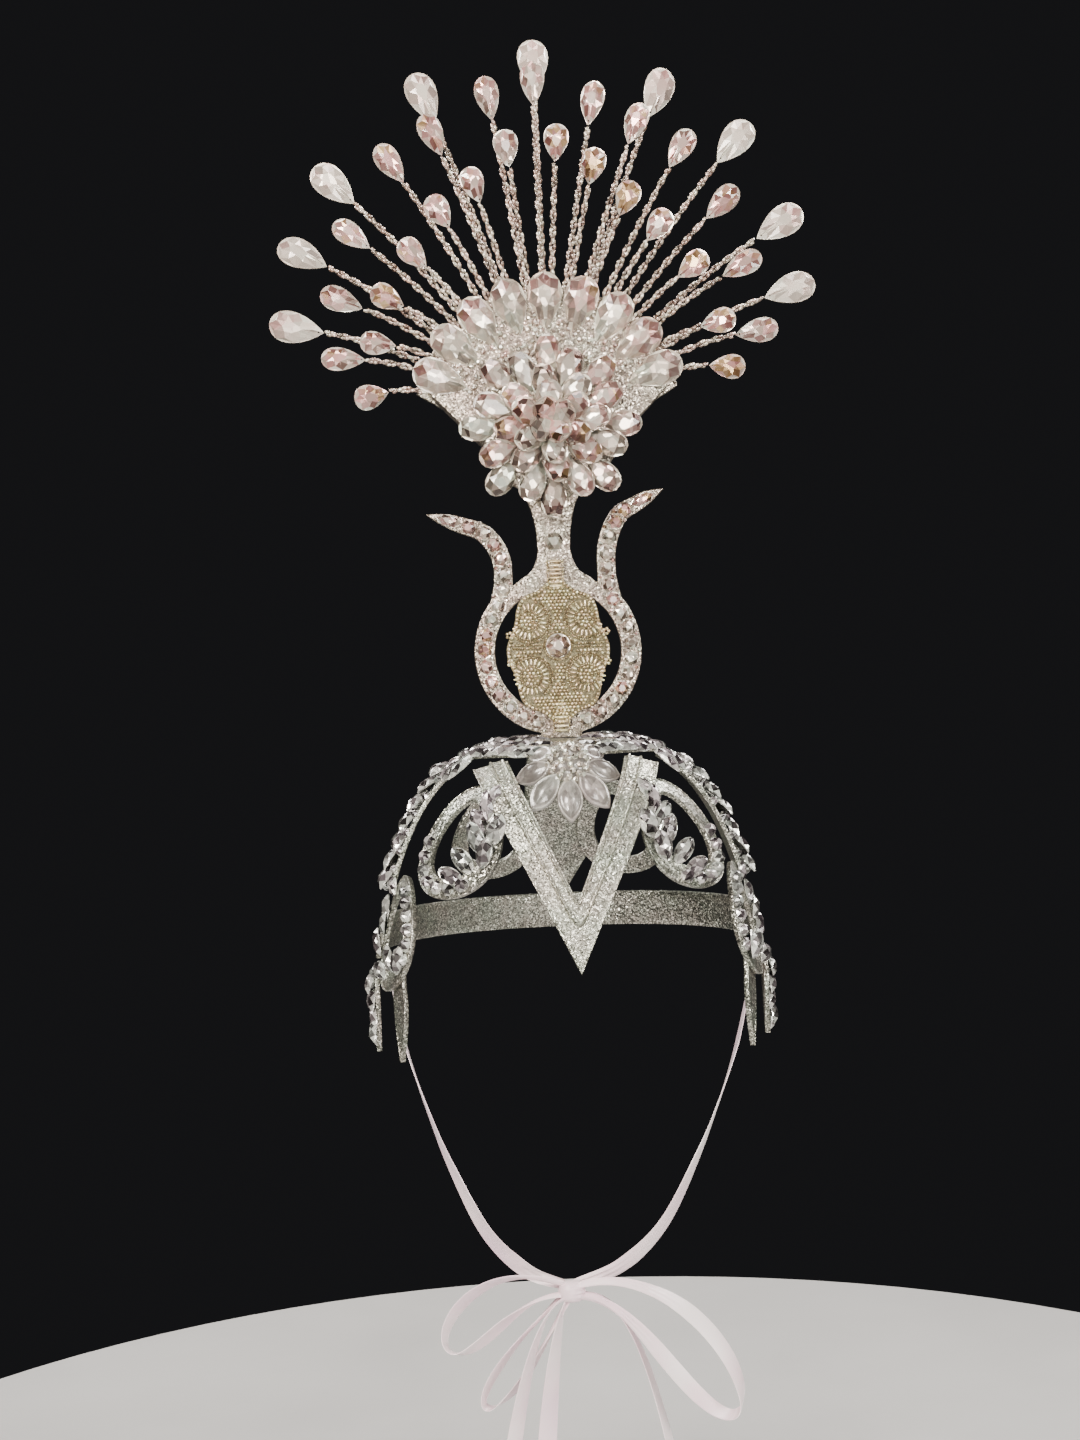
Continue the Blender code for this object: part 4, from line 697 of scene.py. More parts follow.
def scrollLoop(kind, hand, side):
    row, size = loopLook[kind], loopLook["roundStone"]
    sheet = sheetAt(side * row["azimuth"], row["drop"])
    lift = layerLift(row["layer"])
    line = loopLine(row["half"], fullTurn(80))
    foamBand(f"{kind}Loop{hand.title()}", f"{kind}_loop_{hand}", sheet, line, loopLook["band"], lift, True)
    if kind == "back":
        return
    top = lift + foam - stoneSink
    start, end = (-side * math.radians(value) for value in row["rounds"])
    line = loopLine(row["half"], np.linspace(start, end, 200))
    spots, ahead = evenPlaces(line, size / 2, size + loopLook["roundGap"])
    heading = np.degrees(np.arctan2(ahead[:, 1], ahead[:, 0]))
    sizes = (size, size, loopLook["roundHeight"])
    layOnSheet("capRounds", sheet, *spots.T, heading, top, sizes, 21 + side, size / 2)
    turns, insets, leans, lengths, widths = np.array(row["sprig"], float).T
    spots = loopLine(row["half"], -side * np.radians(turns))
    spots = spots - unit(spots) * insets[:, None]
    sizes = joined(lengths, widths, loopLook["leafHeight"] * widths)
    layOnSheet("capNavettes", sheet, *spots.T, 90 + side * leans, top + loopLook["leafRaise"], sizes,
               31 + side, raised=loopLook["leafTilt"])


armLook = {
    "azimuth": 88.0, "width": 0.026, "anchor": 0.024, "up": 0.030, "down": 0.044,
    "leafPitch": 0.0092, "leafFrom": 0.0242, "leaves": 7, "lean": 33.0, "leaf": (0.0155, 0.0074, 0.0040),
    "raised": 13.0, "leafAt": 0.0006, "edgeStone": (0.0052, 0.0052, 0.0032), "edgeAt": 0.0103,
    "edgeBack": 0.001, "middleStone": (0.0056, 0.0056, 0.0036), "middleBack": 0.0105, "middleRaise": 0.0012,
}


def sideArm(hand, side):
    # a straight arm down from the plate, with leaf stones like a fishbone, round ones beside and between them
    row = armLook
    sheet = sheetAt(side * row["azimuth"], row["anchor"])
    shares = np.linspace(0, 1, 40)
    length = row["up"] + row["down"]
    line = joined(0.0, row["up"] - length * shares)
    foamBand(f"sideArm{hand.title()}", f"side_arm_{hand}", sheet, line, row["width"], layerLift(2 - shares))
    up = row["leafFrom"] - row["leafPitch"] * np.arange(row["leaves"])
    top = layerLift(2 - (row["up"] - up) / length) + foam - stoneSink
    for edge in (-1, 1):
        layOnSheet("capNavettes", sheet, edge * row["leafAt"], up, -90 + edge * row["lean"], top, row["leaf"],
                   41 + edge + 4 * side, raised=row["raised"])
        layOnSheet("capRounds", sheet, edge * row["edgeAt"], up - row["edgeBack"], -90, top, row["edgeStone"],
                   51 + edge + 4 * side, row["edgeStone"][0] / 2)
    layOnSheet("capRounds", sheet, 0.0, up - row["middleBack"], -90, top + row["middleRaise"],
               row["middleStone"], 61 + side, row["middleStone"][0] / 2)


backLook = {
    "armAnchor": 0.030, "armWidth": 0.032, "armUp": 0.044, "armDown": 0.058, "pointShare": 0.30,
    "bandFrom": 83.0, "bandDrop": 0.086, "bandWidth": 0.018,
}


def backArm():
    # the middle arm behind, which narrows to a blunt point over its last share
    row = backLook
    shares = np.linspace(0, 1, 50)
    line = joined(0.0, row["armUp"] - (row["armUp"] + row["armDown"]) * shares)
    widths = row["armWidth"] * np.minimum(1, 0.1 + (1 - shares) / row["pointShare"])
    foamBand("backArm", "back_arm", sheetAt(180, row["armAnchor"]), line, widths, layerLift(2))


def backBand():
    # the profile is laid up and down a level line round the back of the form
    row = backLook
    turns = np.radians(np.linspace(row["bandFrom"], 360 - row["bandFrom"], 97))[:, None]
    drops = row["bandDrop"] - row["bandWidth"] / 2 * foamProfile["across"][None, :] + 0 * turns
    reach = levelShare(drops) / planShare(np.sin(turns), np.cos(turns))
    rays = joined(reach * np.sin(turns), -reach * np.cos(turns), crown - drops)
    foamPiece("backBand", "back_band", onForm(rays, layerLift(1) + foam * foamProfile["height"][None, :])[0])


leafLook = {
    "length": 0.042, "width": 0.015, "drop": 0.117, "rootShare": 0.46,
    "along": (0, 0.14, 0.32, 0.52, 0.74, 0.92, 1.0), "widths": (0.62, 0.85, 1.0, 0.92, 0.58, 0.20, 0.05),
    "front": {"azimuth": 60.0, "layer": -1}, "rear": {"azimuth": 82.0, "layer": 1},
    "leaf": (0.0120, 0.0058, 0.0034), "lean": 24.0, "leafFrom": 0.08, "leafTo": 0.62, "leaves": 4,
    "leafAt": 0.0008, "raised": 8, "endStone": (0.0110, 0.0050, 0.0032), "endAt": -0.24,
}


def hangingLeaf(kind, hand, side):
    # a leaf that hangs at the temple; its width comes from a smooth line of shares
    row, own = leafLook, leafLook[kind]
    sheet = sheetAt(side * own["azimuth"], row["drop"])
    shape = smoothLine(joined(row["along"], row["widths"]), 6)
    line = joined(0.0, row["length"] * (row["rootShare"] - shape[:, 0]))
    lift, widths = layerLift(own["layer"]), row["width"] * shape[:, 1]
    foamBand(f"{kind}Leaf{hand.title()}", f"leaf_{kind}_{hand}", sheet, line, widths, lift)
    if kind == "front":
        return
    top = lift + foam - stoneSink
    up = row["length"] * (row["rootShare"] - np.linspace(row["leafFrom"], row["leafTo"], row["leaves"]))
    for edge in (-1, 1):
        layOnSheet("capNavettes", sheet, edge * row["leafAt"], up, -90 + edge * row["lean"], top, row["leaf"],
                   71 + edge + 4 * side, raised=row["raised"])
    layOnSheet("capNavettes", sheet, 0.0, row["length"] * row["endAt"], -90, top, row["endStone"], 81 + side)


for kind in ("front", "side", "back"):
    for hand, side in hands:
        scrollLoop(kind, hand, side)
for hand, side in hands:
    sideArm(hand, side)
    hangingLeaf("front", hand, side)
    hangingLeaf("rear", hand, side)
backArm()
backBand()
print("cap loops, arms, band and leaves made")

vLook = {
    "outer": (0.0412, 0.0095, 0.0962), "inner": (0.0262, 0.0060, 0.0656), "power": 1.7, "layer": 2,
    "fold": 0.075, "foldEnd": 0.8,
    "across": np.array([0, 0.25, 0.5, 0.75, 1, 1, 1, 0.99, 0.975, 0.95, 0.92, 0.80, 0.60, 0.53, 0.515, 0.49,
                        0.46, 0.43, 0.42, 0.30, 0.18, 0.17, 0.14, 0.11, 0.09, 0.06, 0.01, 0, 0]),
    "height": np.array([0, 0, 0, 0, 0, 0.1, 0.9, 1.1, 1.15, 1.1, 1.0, 1.0, 1.0, 1.0, 1.35, 1.72,
                        1.72, 1.55, 1.35, 1.32, 1.35, 1.55, 1.72, 1.72, 1.2, 1.0, 0.98, 0.9, 0.1]),
}


def frontV():
    # between an outer and an inner edge (half width, top's drop, tip's drop) the profile is laid across the
    # form; the raised strip turns in a fold: the drop is the root of the squares of the way from the tip and
    # of the fold's size
    t = np.linspace(-1, 1, 121)
    down = (1 - np.abs(t)) ** vLook["power"]

    def edge(half, top, tip):
        return joined(np.where(t < 0, -1.0, 1.0) * half * (1 - down), top + (tip - top) * down)

    outer, inner = edge(*vLook["outer"]), edge(*vLook["inner"])
    s = vLook["across"]
    spots = inner[:, None, :] + (outer - inner)[:, None, :] * s[None, :, None]
    fold = vLook["fold"] * np.sin(np.pi * np.clip(s / vLook["foldEnd"], 0, 1))
    away = (1 - down)[:, None]
    spots[..., 1] -= (np.hypot(away, fold) - away) * (vLook["outer"][2] - vLook["outer"][1])
    lifts = layerLift(vLook["layer"]) + foam * vLook["height"][None, :]
    points = onForm(frontRays(spots[..., 0], spots[..., 1]), lifts)[0]
    foamPiece("frontV", "front_v", points, material=vSilver, sharp=40.0)


# rows of navettes lie fanned out to both sides of the flower: share of the way out to the rim, lean from
# straight out, count on a side, first and last degrees from the front, length, width, droop of the far end;
# the last row hangs over the rim and hides where the arms begin. The plate's own shares and heights go from
# over its top to under it
plateLook = {
    "halfWidth": 0.050, "halfDepth": 0.054, "layer": 3, "leafHeight": 0.0034,
    "shares": (0.02, 0.15, 0.3, 0.45, 0.6, 0.75, 0.88, 0.955, 0.985, 1, 1, 0.985, 0.8, 0.6, 0.4, 0.2, 0.02),
    "heights": (1, 1, 1, 1, 1, 1, 1, 1, 0.97, 0.85, 0.15, 0, 0, 0, 0, 0, 0),
    "rows": ((0.90, 82, 7, 3, 68, 0.0170, 0.0076, 0.06), (0.74, 74, 6, 6, 72, 0.0170, 0.0080, 0.06),
             (0.54, 66, 5, 12, 78, 0.0160, 0.0078, 0.06), (0.36, 60, 2, 34, 66, 0.0140, 0.0072, 0.06),
             (0.95, 12, 4, 60, 88, 0.0185, 0.0080, 0.34)),
    "rimStone": (0.0048, 0.0048, 0.0028), "rimStones": 12, "rimFrom": 84.0, "rimTo": 150.0, "rimShare": 0.93,
}


def platePoint(share, turns, lift):
    # a share of the way from the plate's middle to its oval rim
    across = plateLook["halfWidth"] * share * np.cos(turns)
    return onForm(joined(across, plateLook["halfDepth"] * share * np.sin(turns), crown), lift)


def crownPlate():
    # an oval patch of the form: shares of the way out to its rim over the top, then back under it
    row = plateLook
    lift = layerLift(row["layer"])
    heights = np.array(row["heights"])[:, None] * foam + lift
    points = platePoint(np.array(row["shares"])[:, None], fullTurn(96)[None, :], heights)[0]
    foamPiece("crownPlate", "crown_plate", points, sharp=40.0)
    top = lift + foam - stoneSink

    def frames(share, degrees, heading):
        # places on the plate, with the direction on a heading turned from straight out
        turn = np.radians(degrees)
        spot, normal = platePoint(share, turn, top)
        out = joined(np.cos(turn + np.radians(heading)), np.sin(turn + np.radians(heading)), 0.0)
        return spot, unit(out - normal * np.sum(out * normal, axis=-1, keepdims=True)), normal

    for number, (share, lean, count, first, last, length, width, fall) in enumerate(row["rows"]):
        steps = np.linspace(first, last, count)
        degrees = np.concatenate([-90 - steps, -90 + steps])
        origin, along, normal = frames(share, degrees, np.repeat([-1.0, 1.0], count) * lean)
        along, normal = tipped(along - fall * normal, normal + fall * along, 91 + number, 14, 4)
        addStones("capNavettes", origin, along, normal, (length, width, row["leafHeight"]))
    steps = np.linspace(row["rimFrom"], row["rimTo"], row["rimStones"])
    origin, along, normal = frames(row["rimShare"], np.concatenate([-90 - steps, -90 + steps]), 90.0)
    addStones("capRounds", origin - along * row["rimStone"][0] / 2, along, normal, row["rimStone"])


# hub rings: degrees back from the flower's axis, and how many stones
flowerLook = {
    "petals": 9, "overhang": 0.007, "tilt": 62.0, "droop": 9.0, "topDroop": 58.0, "hub": 0.0092,
    "hubRise": 0.0050, "hubBack": 0.0035, "petal": (0.0225, 0.0122, 0.0040), "topPetal": 0.72,
    "topRaise": 0.002, "rootShare": 0.80, "bead": 0.0034, "beadHeight": 0.6,
    "hubRings": ((98, 14), (80, 14), (60, 11), (40, 8), (20, 4), (0.1, 1)),
}


def crownFlower():
    row = flowerLook
    tilt = math.radians(row["tilt"])
    axis = np.array([0, -math.sin(tilt), math.cos(tilt)])
    right = np.array([1.0, 0, 0])
    upward = np.cross(axis, right)
    rim = onForm(np.array([0, -plateLook["halfDepth"], crown]), layerLift(plateLook["layer"]) + foam)[0]
    centre = rim + axis * (row["hubBack"] + clearance) - upward * row["overhang"]

    def spokes(turns):
        return right * np.cos(turns)[:, None] + upward * np.sin(turns)[:, None]

    # the upper petals are shorter and lie back over the plate
    turn = -np.pi / 2 + fullTurn(row["petals"])
    raised = ((1 + np.sin(turn)) / 2)[:, None]
    droop = np.radians(row["droop"] + (row["topDroop"] - row["droop"]) * raised)
    spoke = spokes(turn)
    origin = centre + spoke * row["hub"] * row["rootShare"] + axis * row["topRaise"] * raised
    along = spoke * np.cos(droop) - axis * np.sin(droop)
    normal = axis * np.cos(droop) + spoke * np.sin(droop)
    size = np.array(row["petal"]) * (1 - (1 - row["topPetal"]) * raised)
    petals = setStones("crownFlowerPetals", pillowOf("petal", 24), (origin, along, normal, size), frosted,
                       161, hues=(0.10, 0.60), contrast=0.06, smooth=True)
    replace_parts(petals, "crown_flower")
    profile = np.radians(np.linspace(-30, 88, 12))[:, None, None]
    across = row["hub"] * np.cos(profile) * spokes(fullTurn(48))
    dome = centre + axis * (row["hubRise"] * np.sin(profile)) + across
    blocks = tubeFaces(12, 48)
    faceCount = sum(len(block) for block in blocks)
    meshPiece("crownFlowerHub", dome, blocks, frosted, tint=np.full(faceCount, 0.5),
              hue=np.full(faceCount, 0.4))
    # hub stones sit in rings on the dome: each ring's radius and rise come from its angle back from the axis
    size = row["bead"]
    for degrees, count in row["hubRings"]:
        back = math.radians(degrees)
        spoke = spokes(2 * np.pi * (np.arange(count) + 0.3 * count % 1) / count)
        spot = centre + spoke * row["hub"] * math.sin(back) + axis * row["hubRise"] * math.cos(back)
        normal = spoke * math.sin(back) + axis * math.cos(back)
        along = unit(np.cross(normal, right + 0.01))
        addStones("hubStones", spot - along * size / 2, along, normal, (size, size, size * row["beadHeight"]))


frontV()
crownPlate()
crownFlower()
print("crown plate, front V and crown flower made")

# Crest

forward = np.array([0, -1.0, 0])
crestAt = np.array([0, -0.015, layerLift(plateLook["layer"]) + foam + clearance])
# lines are shares of the way to their ends; the horn's third value is its share of the full width
crestLook = {
    "foam": 0.003, "ringHeight": 0.0425, "ringOuter": 0.0412, "ringInner": 0.0312, "footHalfWidth": 0.010,
    "ovalHalfWidth": 0.0222, "ovalHalfHeight": 0.0365, "neckHalfWidth": 0.0079, "neckHeight": 0.093,
    "shoulderHalfWidth": 0.021, "shoulderHeight": 0.0755, "hornWidth": 0.0092, "hornAngle": 45.0,
    "hornEnd": {"left": (0.0295, 0.0525), "right": (0.0365, 0.0440)},
    "hornLine": ((0, 0, 1), (0, 0.20, 1), (0, 0.40, 1), (0.06, 0.57, 1), (0.17, 0.71, 0.98),
                 (0.30, 0.80, 0.92), (0.50, 0.86, 0.86), (0.70, 0.92, 0.74), (0.88, 0.97, 0.36),
                 (1, 1, 0.02)),
    "shoulderLine": ((0, 0), (0.32, 0.18), (0.70, 0.38), (0.91, 0.69), (1, 1)),
    "wingLine": ((0, 0), (0.02, 0.16), (0.10, 0.34), (0.34, 0.60), (0.68, 0.85), (1, 1)),
    "fanHeight": 0.1565, "fanRadius": 0.066, "fanHalfAngle": 77.0, "edge": 0.0005,
    "stone": 0.0075, "stoneHeight": 0.0036, "stonePitch": 0.0078, "stonesFrom": -8, "stonesTo": -78,
    "navette": (0.013, 0.0060, 0.0036), "navetteStart": 0.005, "neckStone": (0.0092, 0.0092, 0.0042),
    "neckStoneHeight": 0.0965, "chip": (0.0023, 0.0023, 0.0017), "chipReach": 0.0034,
}


def flatBoard(name, outlines, near, far, edge, material):
    # a board in the XZ plane from a filled outline with holes, with its edges rounded by the given radius
    curve = bpy.data.curves.new(name, "CURVE")
    curve.dimensions = "2D"
    curve.fill_mode = "BOTH"
    curve.extrude = (far - near) / 2 - edge
    curve.bevel_depth = edge
    curve.bevel_resolution = 2
    curve.offset = -edge
    for outline in outlines:
        spline = curve.splines.new("POLY")
        spline.points.add(len(outline) - 1)
        spline.points.foreach_set("co", joined(*outline.T, 0.0, 1.0).ravel())
        spline.use_cyclic_u = True
    holder = linked(name + "Outline", curve)
    filled = bpy.data.meshes.new_from_object(holder.evaluated_get(bpy.context.evaluated_depsgraph_get()))
    bpy.data.objects.remove(holder)
    filled.calc_loop_triangles()
    places = np.empty(len(filled.vertices) * 3)
    triangles = np.empty(len(filled.loop_triangles) * 3, dtype=np.int32)
    filled.vertices.foreach_get("co", places)
    filled.loop_triangles.foreach_get("vertices", triangles)
    bpy.data.meshes.remove(filled)
    x, y, z = places.reshape(-1, 3).T
    merged, index = np.unique(np.round(joined(x, (near + far) / 2 - z, y), 7), axis=0, return_inverse=True)
    triangles = index.ravel()[triangles.reshape(-1, 3)]
    good = (triangles != np.roll(triangles, 1, axis=1)).all(axis=1)
    return meshPiece(name, merged + crestAt, [triangles[good]], material, sharp=40.0)


def fanArc(radius):
    half = crestLook["fanHalfAngle"]
    return arcLine((0, crestLook["fanHeight"]), radius, 90 - half, 90 + half, 90)


def hornMiddle(hand):
    row = crestLook
    turn = math.radians(row["hornAngle"])
    radius = (row["ringOuter"] + row["ringInner"]) / 2
    base = np.array([radius * math.cos(turn), row["ringHeight"] + radius * math.sin(turn)])
    return base + np.array(row["hornLine"])[:, :2] * np.array(row["hornEnd"][hand])


def crestSide(hand):
    # half of the outline, up from the foot to the end of the fan's arc, on the +X side
    row = crestLook
    footTurn = math.degrees(math.acos(row["footHalfWidth"] / row["ringOuter"]))
    rootTurn = math.degrees(row["hornWidth"] / 2 / row["ringOuter"])
    middle = smoothLine(hornMiddle(hand), 5)
    widths = smoothLine(np.array(row["hornLine"])[:, 2:], 5)
    along = unit(np.gradient(middle, axis=0))
    side = joined(along[:, 1], -along[:, 0]) * (row["hornWidth"] * widths / 2)
    outer, inner = (middle + side)[5:], (middle - side)[10:]
    neck = np.array([row["neckHalfWidth"], row["neckHeight"]])
    start = np.array([row["shoulderHalfWidth"], row["shoulderHeight"]])
    shoulder = smoothLine(start + np.array(row["shoulderLine"], float) * (neck - start), 6)
    wing = math.radians(90 - row["fanHalfAngle"])
    tip = np.array([row["fanRadius"] * math.cos(wing), row["fanHeight"] + row["fanRadius"] * math.sin(wing)])
    wingPath = smoothLine(neck + np.array(row["wingLine"], float) * (tip - neck), 6)
    ring = arcLine((0, row["ringHeight"]), row["ringOuter"], -footTurn, row["hornAngle"] - rootTurn, 60)
    return np.vstack([[(row["footHalfWidth"], 0)], ring, outer, inner[::-1], shoulder, wingPath[1:-1]])


def upright(flatPlaces, depth=0.0):
    # places in the crest's own plane, brought out to a depth
    return joined(flatPlaces[:, 0], depth, flatPlaces[:, 1])


def crestBoard():
    row = crestLook
    middle = (0, row["ringHeight"])
    outline = np.vstack([crestSide("left"), fanArc(row["fanRadius"]), (crestSide("right") * [-1, 1])[::-1]])
    # each hole lies between the ring's inner circle and the oval, which meet where both equations hold
    square = (row["ringInner"] / row["ovalHalfWidth"]) ** 2 - 1
    square /= 1 / row["ovalHalfWidth"] ** 2 - 1 / row["ovalHalfHeight"] ** 2
    meeting = math.degrees(math.asin(math.sqrt(square) / row["ringInner"]))
    ovalEnd = math.asin(math.sqrt(square) / row["ovalHalfHeight"])
    turns = np.linspace(ovalEnd, -ovalEnd, 40)[1:-1]
    oval = joined(row["ovalHalfWidth"] * np.cos(turns), middle[1] + row["ovalHalfHeight"] * np.sin(turns))
    hole = np.vstack([arcLine(middle, row["ringInner"], -meeting, meeting, 40), oval])
    outlines = [outline, hole, hole * [-1, 1]]
    board = flatBoard("crestBoard", outlines, 0, row["foam"], row["edge"], crestSilver)
    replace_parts(board, "crest_board")
    size, chip, pitch = row["stone"], row["chip"], row["stonePitch"]
    radius = (row["ringOuter"] + row["ringInner"]) / 2
    ring = arcLine(middle, radius, row["hornAngle"] + row["stonesFrom"], row["stonesTo"], 60)
    first = row["navetteStart"] + row["navette"][0]
    for number, (hand, sign) in enumerate((("left", 1), ("right", -1))):
        route = np.vstack([smoothLine(hornMiddle(hand), 6)[:4:-1], ring])

        def placed(start, step):
            spots, ahead = evenPlaces(route, start, step)
            return upright(spots * [sign, 1], stoneSink), upright(ahead * [sign, 1])

        spots, along = placed(first + pitch / 2, pitch)
        turned = tipped(along, forward + 0 * along, 171 + number, 12, 9)
        addStones("lyreStones", spots - along * size / 2 + crestAt, *turned, (size, size, row["stoneHeight"]))
        spots, along = placed(first + pitch, pitch)
        across = np.cross(along, forward)
        for share in (-1, 1):
            turned = tipped(along, forward + 0 * along, 175 + number + share, 30, 20)
            origin = spots + across * share * row["chipReach"] - along * chip[0] / 2 + crestAt
            addStones("lyreChips", origin, *turned, chip)
        spots, along = placed(row["navetteStart"], 1.0)
        addStones("hornNavettes", spots + crestAt, along, forward, row["navette"])
    stone = row["neckStone"]
    place = crestAt + [-stone[0] / 2, stoneSink, row["neckStoneHeight"]]
    addStones("lyreStones", place, [1, 0, 0], forward, stone)


# centres, rings and bars in metres from the middle stone; bumps are rings of five beads at the mat's edge
medallionLook = {
    "mat": 0.0016, "matEdge": 0.0003, "growth": 0.0022, "lobes": 8, "lobeShare": 0.045, "middle": 0.0452,
    "stone": (0.012, 0.012, 0.005), "stoneClear": 0.0064, "stoneRing": 0.0069, "rimInset": 0.0010,
    "coils": ((-0.0140, 0.0125), (0.0140, 0.0130), (-0.0138, -0.0148), (0.0140, -0.0145)),
    "roundBead": 0.0018, "fineBead": 0.0011, "bugle": (0.0029, 0.0014), "bar": (0.0064, 0.0017),
    "roundRings": (0.0019, 0.0037), "cordRing": 0.0051, "bugleRing": 0.0073, "bugles": 22,
    "cordArcs": (0.0093, 0.0105), "arcHalf": 1.75, "spoke": (0.0078, 0.0224), "spokeHalf": 0.0008,
    "ladders": ((0.0746, 0.0868), (0.0036, 0.0166)), "ladderHalf": 0.0038, "railEnd": 0.0008,
    "bumps": ((-0.0238, 0.0058), (0.0238, 0.0062), (-0.0236, -0.0078), (0.0240, -0.0084)), "bumpRing": 0.0013,
}


def medallion():
    row = medallionLook
    height = crestLook["ringHeight"]
    halfWidth = crestLook["ovalHalfWidth"] + row["growth"]
    halfHeight = crestLook["ovalHalfHeight"] - row["growth"]
    near = -clearance - row["mat"]
    middle = np.array([0, row["middle"]])
    big, fine = row["roundBead"], row["fineBead"]
    whole = np.linspace(0, 2 * np.pi, 400)

    def lobed(turns, inset):
        # an ellipse whose radius swells and shrinks with the cosine of eight times the turn
        lobe = 1 + row["lobeShare"] * np.cos(row["lobes"] * turns)
        across = (halfWidth - inset) * lobe * np.cos(turns)
        return joined(across, height + (halfHeight - inset) * lobe * np.sin(turns))

    def circle(centre, radius, turns=whole):
        return centre + radius * joined(np.cos(turns), np.sin(turns))

    def cord(line, pitch=fine):
        # places of beads end to end along a line
        return evenPlaces(line, 0, pitch)[0]

    def inside(places, margin):
        # in the oval less a margin, and clear of the middle stone
        across, up = places[:, 0] / (halfWidth - margin), (places[:, 1] - height) / (halfHeight - margin)
        return (across ** 2 + up ** 2 < 1) & (np.linalg.norm(places - middle, axis=-1) > row["stoneClear"])

    def nearest(places, others):
        return np.min(np.linalg.norm(places[:, None] - others[None], axis=-1), axis=1)

    mat = flatBoard("medallionMat", [lobed(fullTurn(160), 0)], near, -clearance, row["matEdge"], goldMat)
    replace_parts(mat, "medallion")
    coils = np.array(row["coils"]) + middle
    rounds, fines = [cord(lobed(whole, row["rimInset"]), big * 1.05)], []
    turns = 2 * np.pi * (np.arange(row["bugles"]) + 0.5) / row["bugles"]
    for centre in coils:
        rounds.append(centre[None])
        rounds += [cord(circle(centre, radius), big * 1.06) for radius in row["roundRings"]]
        # cords arch round the side of each coil that faces the middle line
        inward = math.atan2(-centre[1] + middle[1], -centre[0])
        arch = inward + np.linspace(-row["arcHalf"], row["arcHalf"], 200)
        fines.append(cord(circle(centre, row["cordRing"])))
        fines += [cord(circle(centre, radius, arch)) for radius in row["cordArcs"]]
    for sign in (-1, 1):
        for up in (-row["spokeHalf"], row["spokeHalf"]):
            fines.append(cord(middle + joined(row["spoke"], up) * [sign, 1]))
    fines = np.vstack(fines + [cord(circle(middle, row["stoneRing"]))])
    bugles = np.vstack([circle(centre, row["bugleRing"], turns) for centre in coils])
    bugleAxes = np.vstack([circle(0, 1, turns)] * len(coils))
    keep = inside(bugles, 0.0012)
    fines = fines[inside(fines, 0.0004)]
    gap = nearest(fines, coils)
    fines = fines[(gap > row["cordArcs"][0] - 0.0002) | (gap < row["cordRing"] + 0.0002)]
    rounds = np.vstack(rounds)
    # beads fill a staggered grid wherever the drawn rows leave room
    step = big * 1.04
    i, j = np.meshgrid(np.arange(-16, 17), np.arange(-24, 25))
    grid = joined((i + 0.5 * (j % 2)) * step, height + j * step * 0.87).reshape(-1, 2)
    clear = nearest(grid, coils) > row["cordArcs"][0] + 0.0006
    filler = grid[inside(grid, 0.0028) & clear & (nearest(grid, np.vstack([rounds, fines])) > big * 0.74)]
    bumps = np.array(row["bumps"])[:, None, :] + middle + circle(0, row["bumpRing"], fullTurn(5))[None]
    rounds = np.vstack([rounds, filler, bumps.reshape(-1, 2)])
    bars, rails = [], []
    for low, high in row["ladders"]:
        count = int(round((high - low) / (row["bar"][1] * 1.06)))
        bars.append(joined(0.0, np.linspace(low, high, count)))
        ends = (low - row["railEnd"], high + row["railEnd"])
        rails += [cord(joined(sign * row["ladderHalf"], ends)) for sign in (-1, 1)]
    bars, rails = np.vstack(bars), np.vstack(rails)
    # name, places, depth, axes, length, width, brightness from and to
    beads = (
        ("Rounds", rounds, near - big * 0.30, forward, big, big, (0.25, 1.0)),
        ("Cords", fines, near - fine * 0.45, forward, fine, fine, (0.0, 0.6)),
        ("Bugles", bugles[keep], near - row["bugle"][1] * 0.35, upright(bugleAxes[keep]), *row["bugle"],
         (0.3, 1.0)),
        ("Bars", bars, near, [[1.0, 0, 0]], *row["bar"], (0.3, 0.9)),
        ("Rails", rails, near + 0.0002, forward, fine, fine, (0.1, 0.7)),
    )
    for number, (name, places, depth, axes, length, width, spread) in enumerate(beads):
        setBeads("medallion" + name, upright(places, depth) + crestAt, axes, length, width, beadGold,
                 191 + number, spread)
    place = crestAt + [-row["stone"][0] / 2, near + stoneSink, row["middle"]]
    addStones("middleStone", place, [1, 0, 0], forward, row["stone"])


fanLook = {
    "coreRadius": 0.060, "coreDepth": 0.012, "coreEdge": 0.0008, "rimStones": 9, "rimHalfAngle": 69.0,
    "rimReach": 0.070, "rimTilt": 6.0, "rimRaise": 0.0007, "largeDrop": (0.028, 0.017, 0.0052),
    "chips": 420, "chip": (0.0020, 0.0036), "chipHeight": 0.55, "chipRaise": 0.0003,
    "chipsOver": (0.026, 0.0575), "chipsHalf": 73,
}


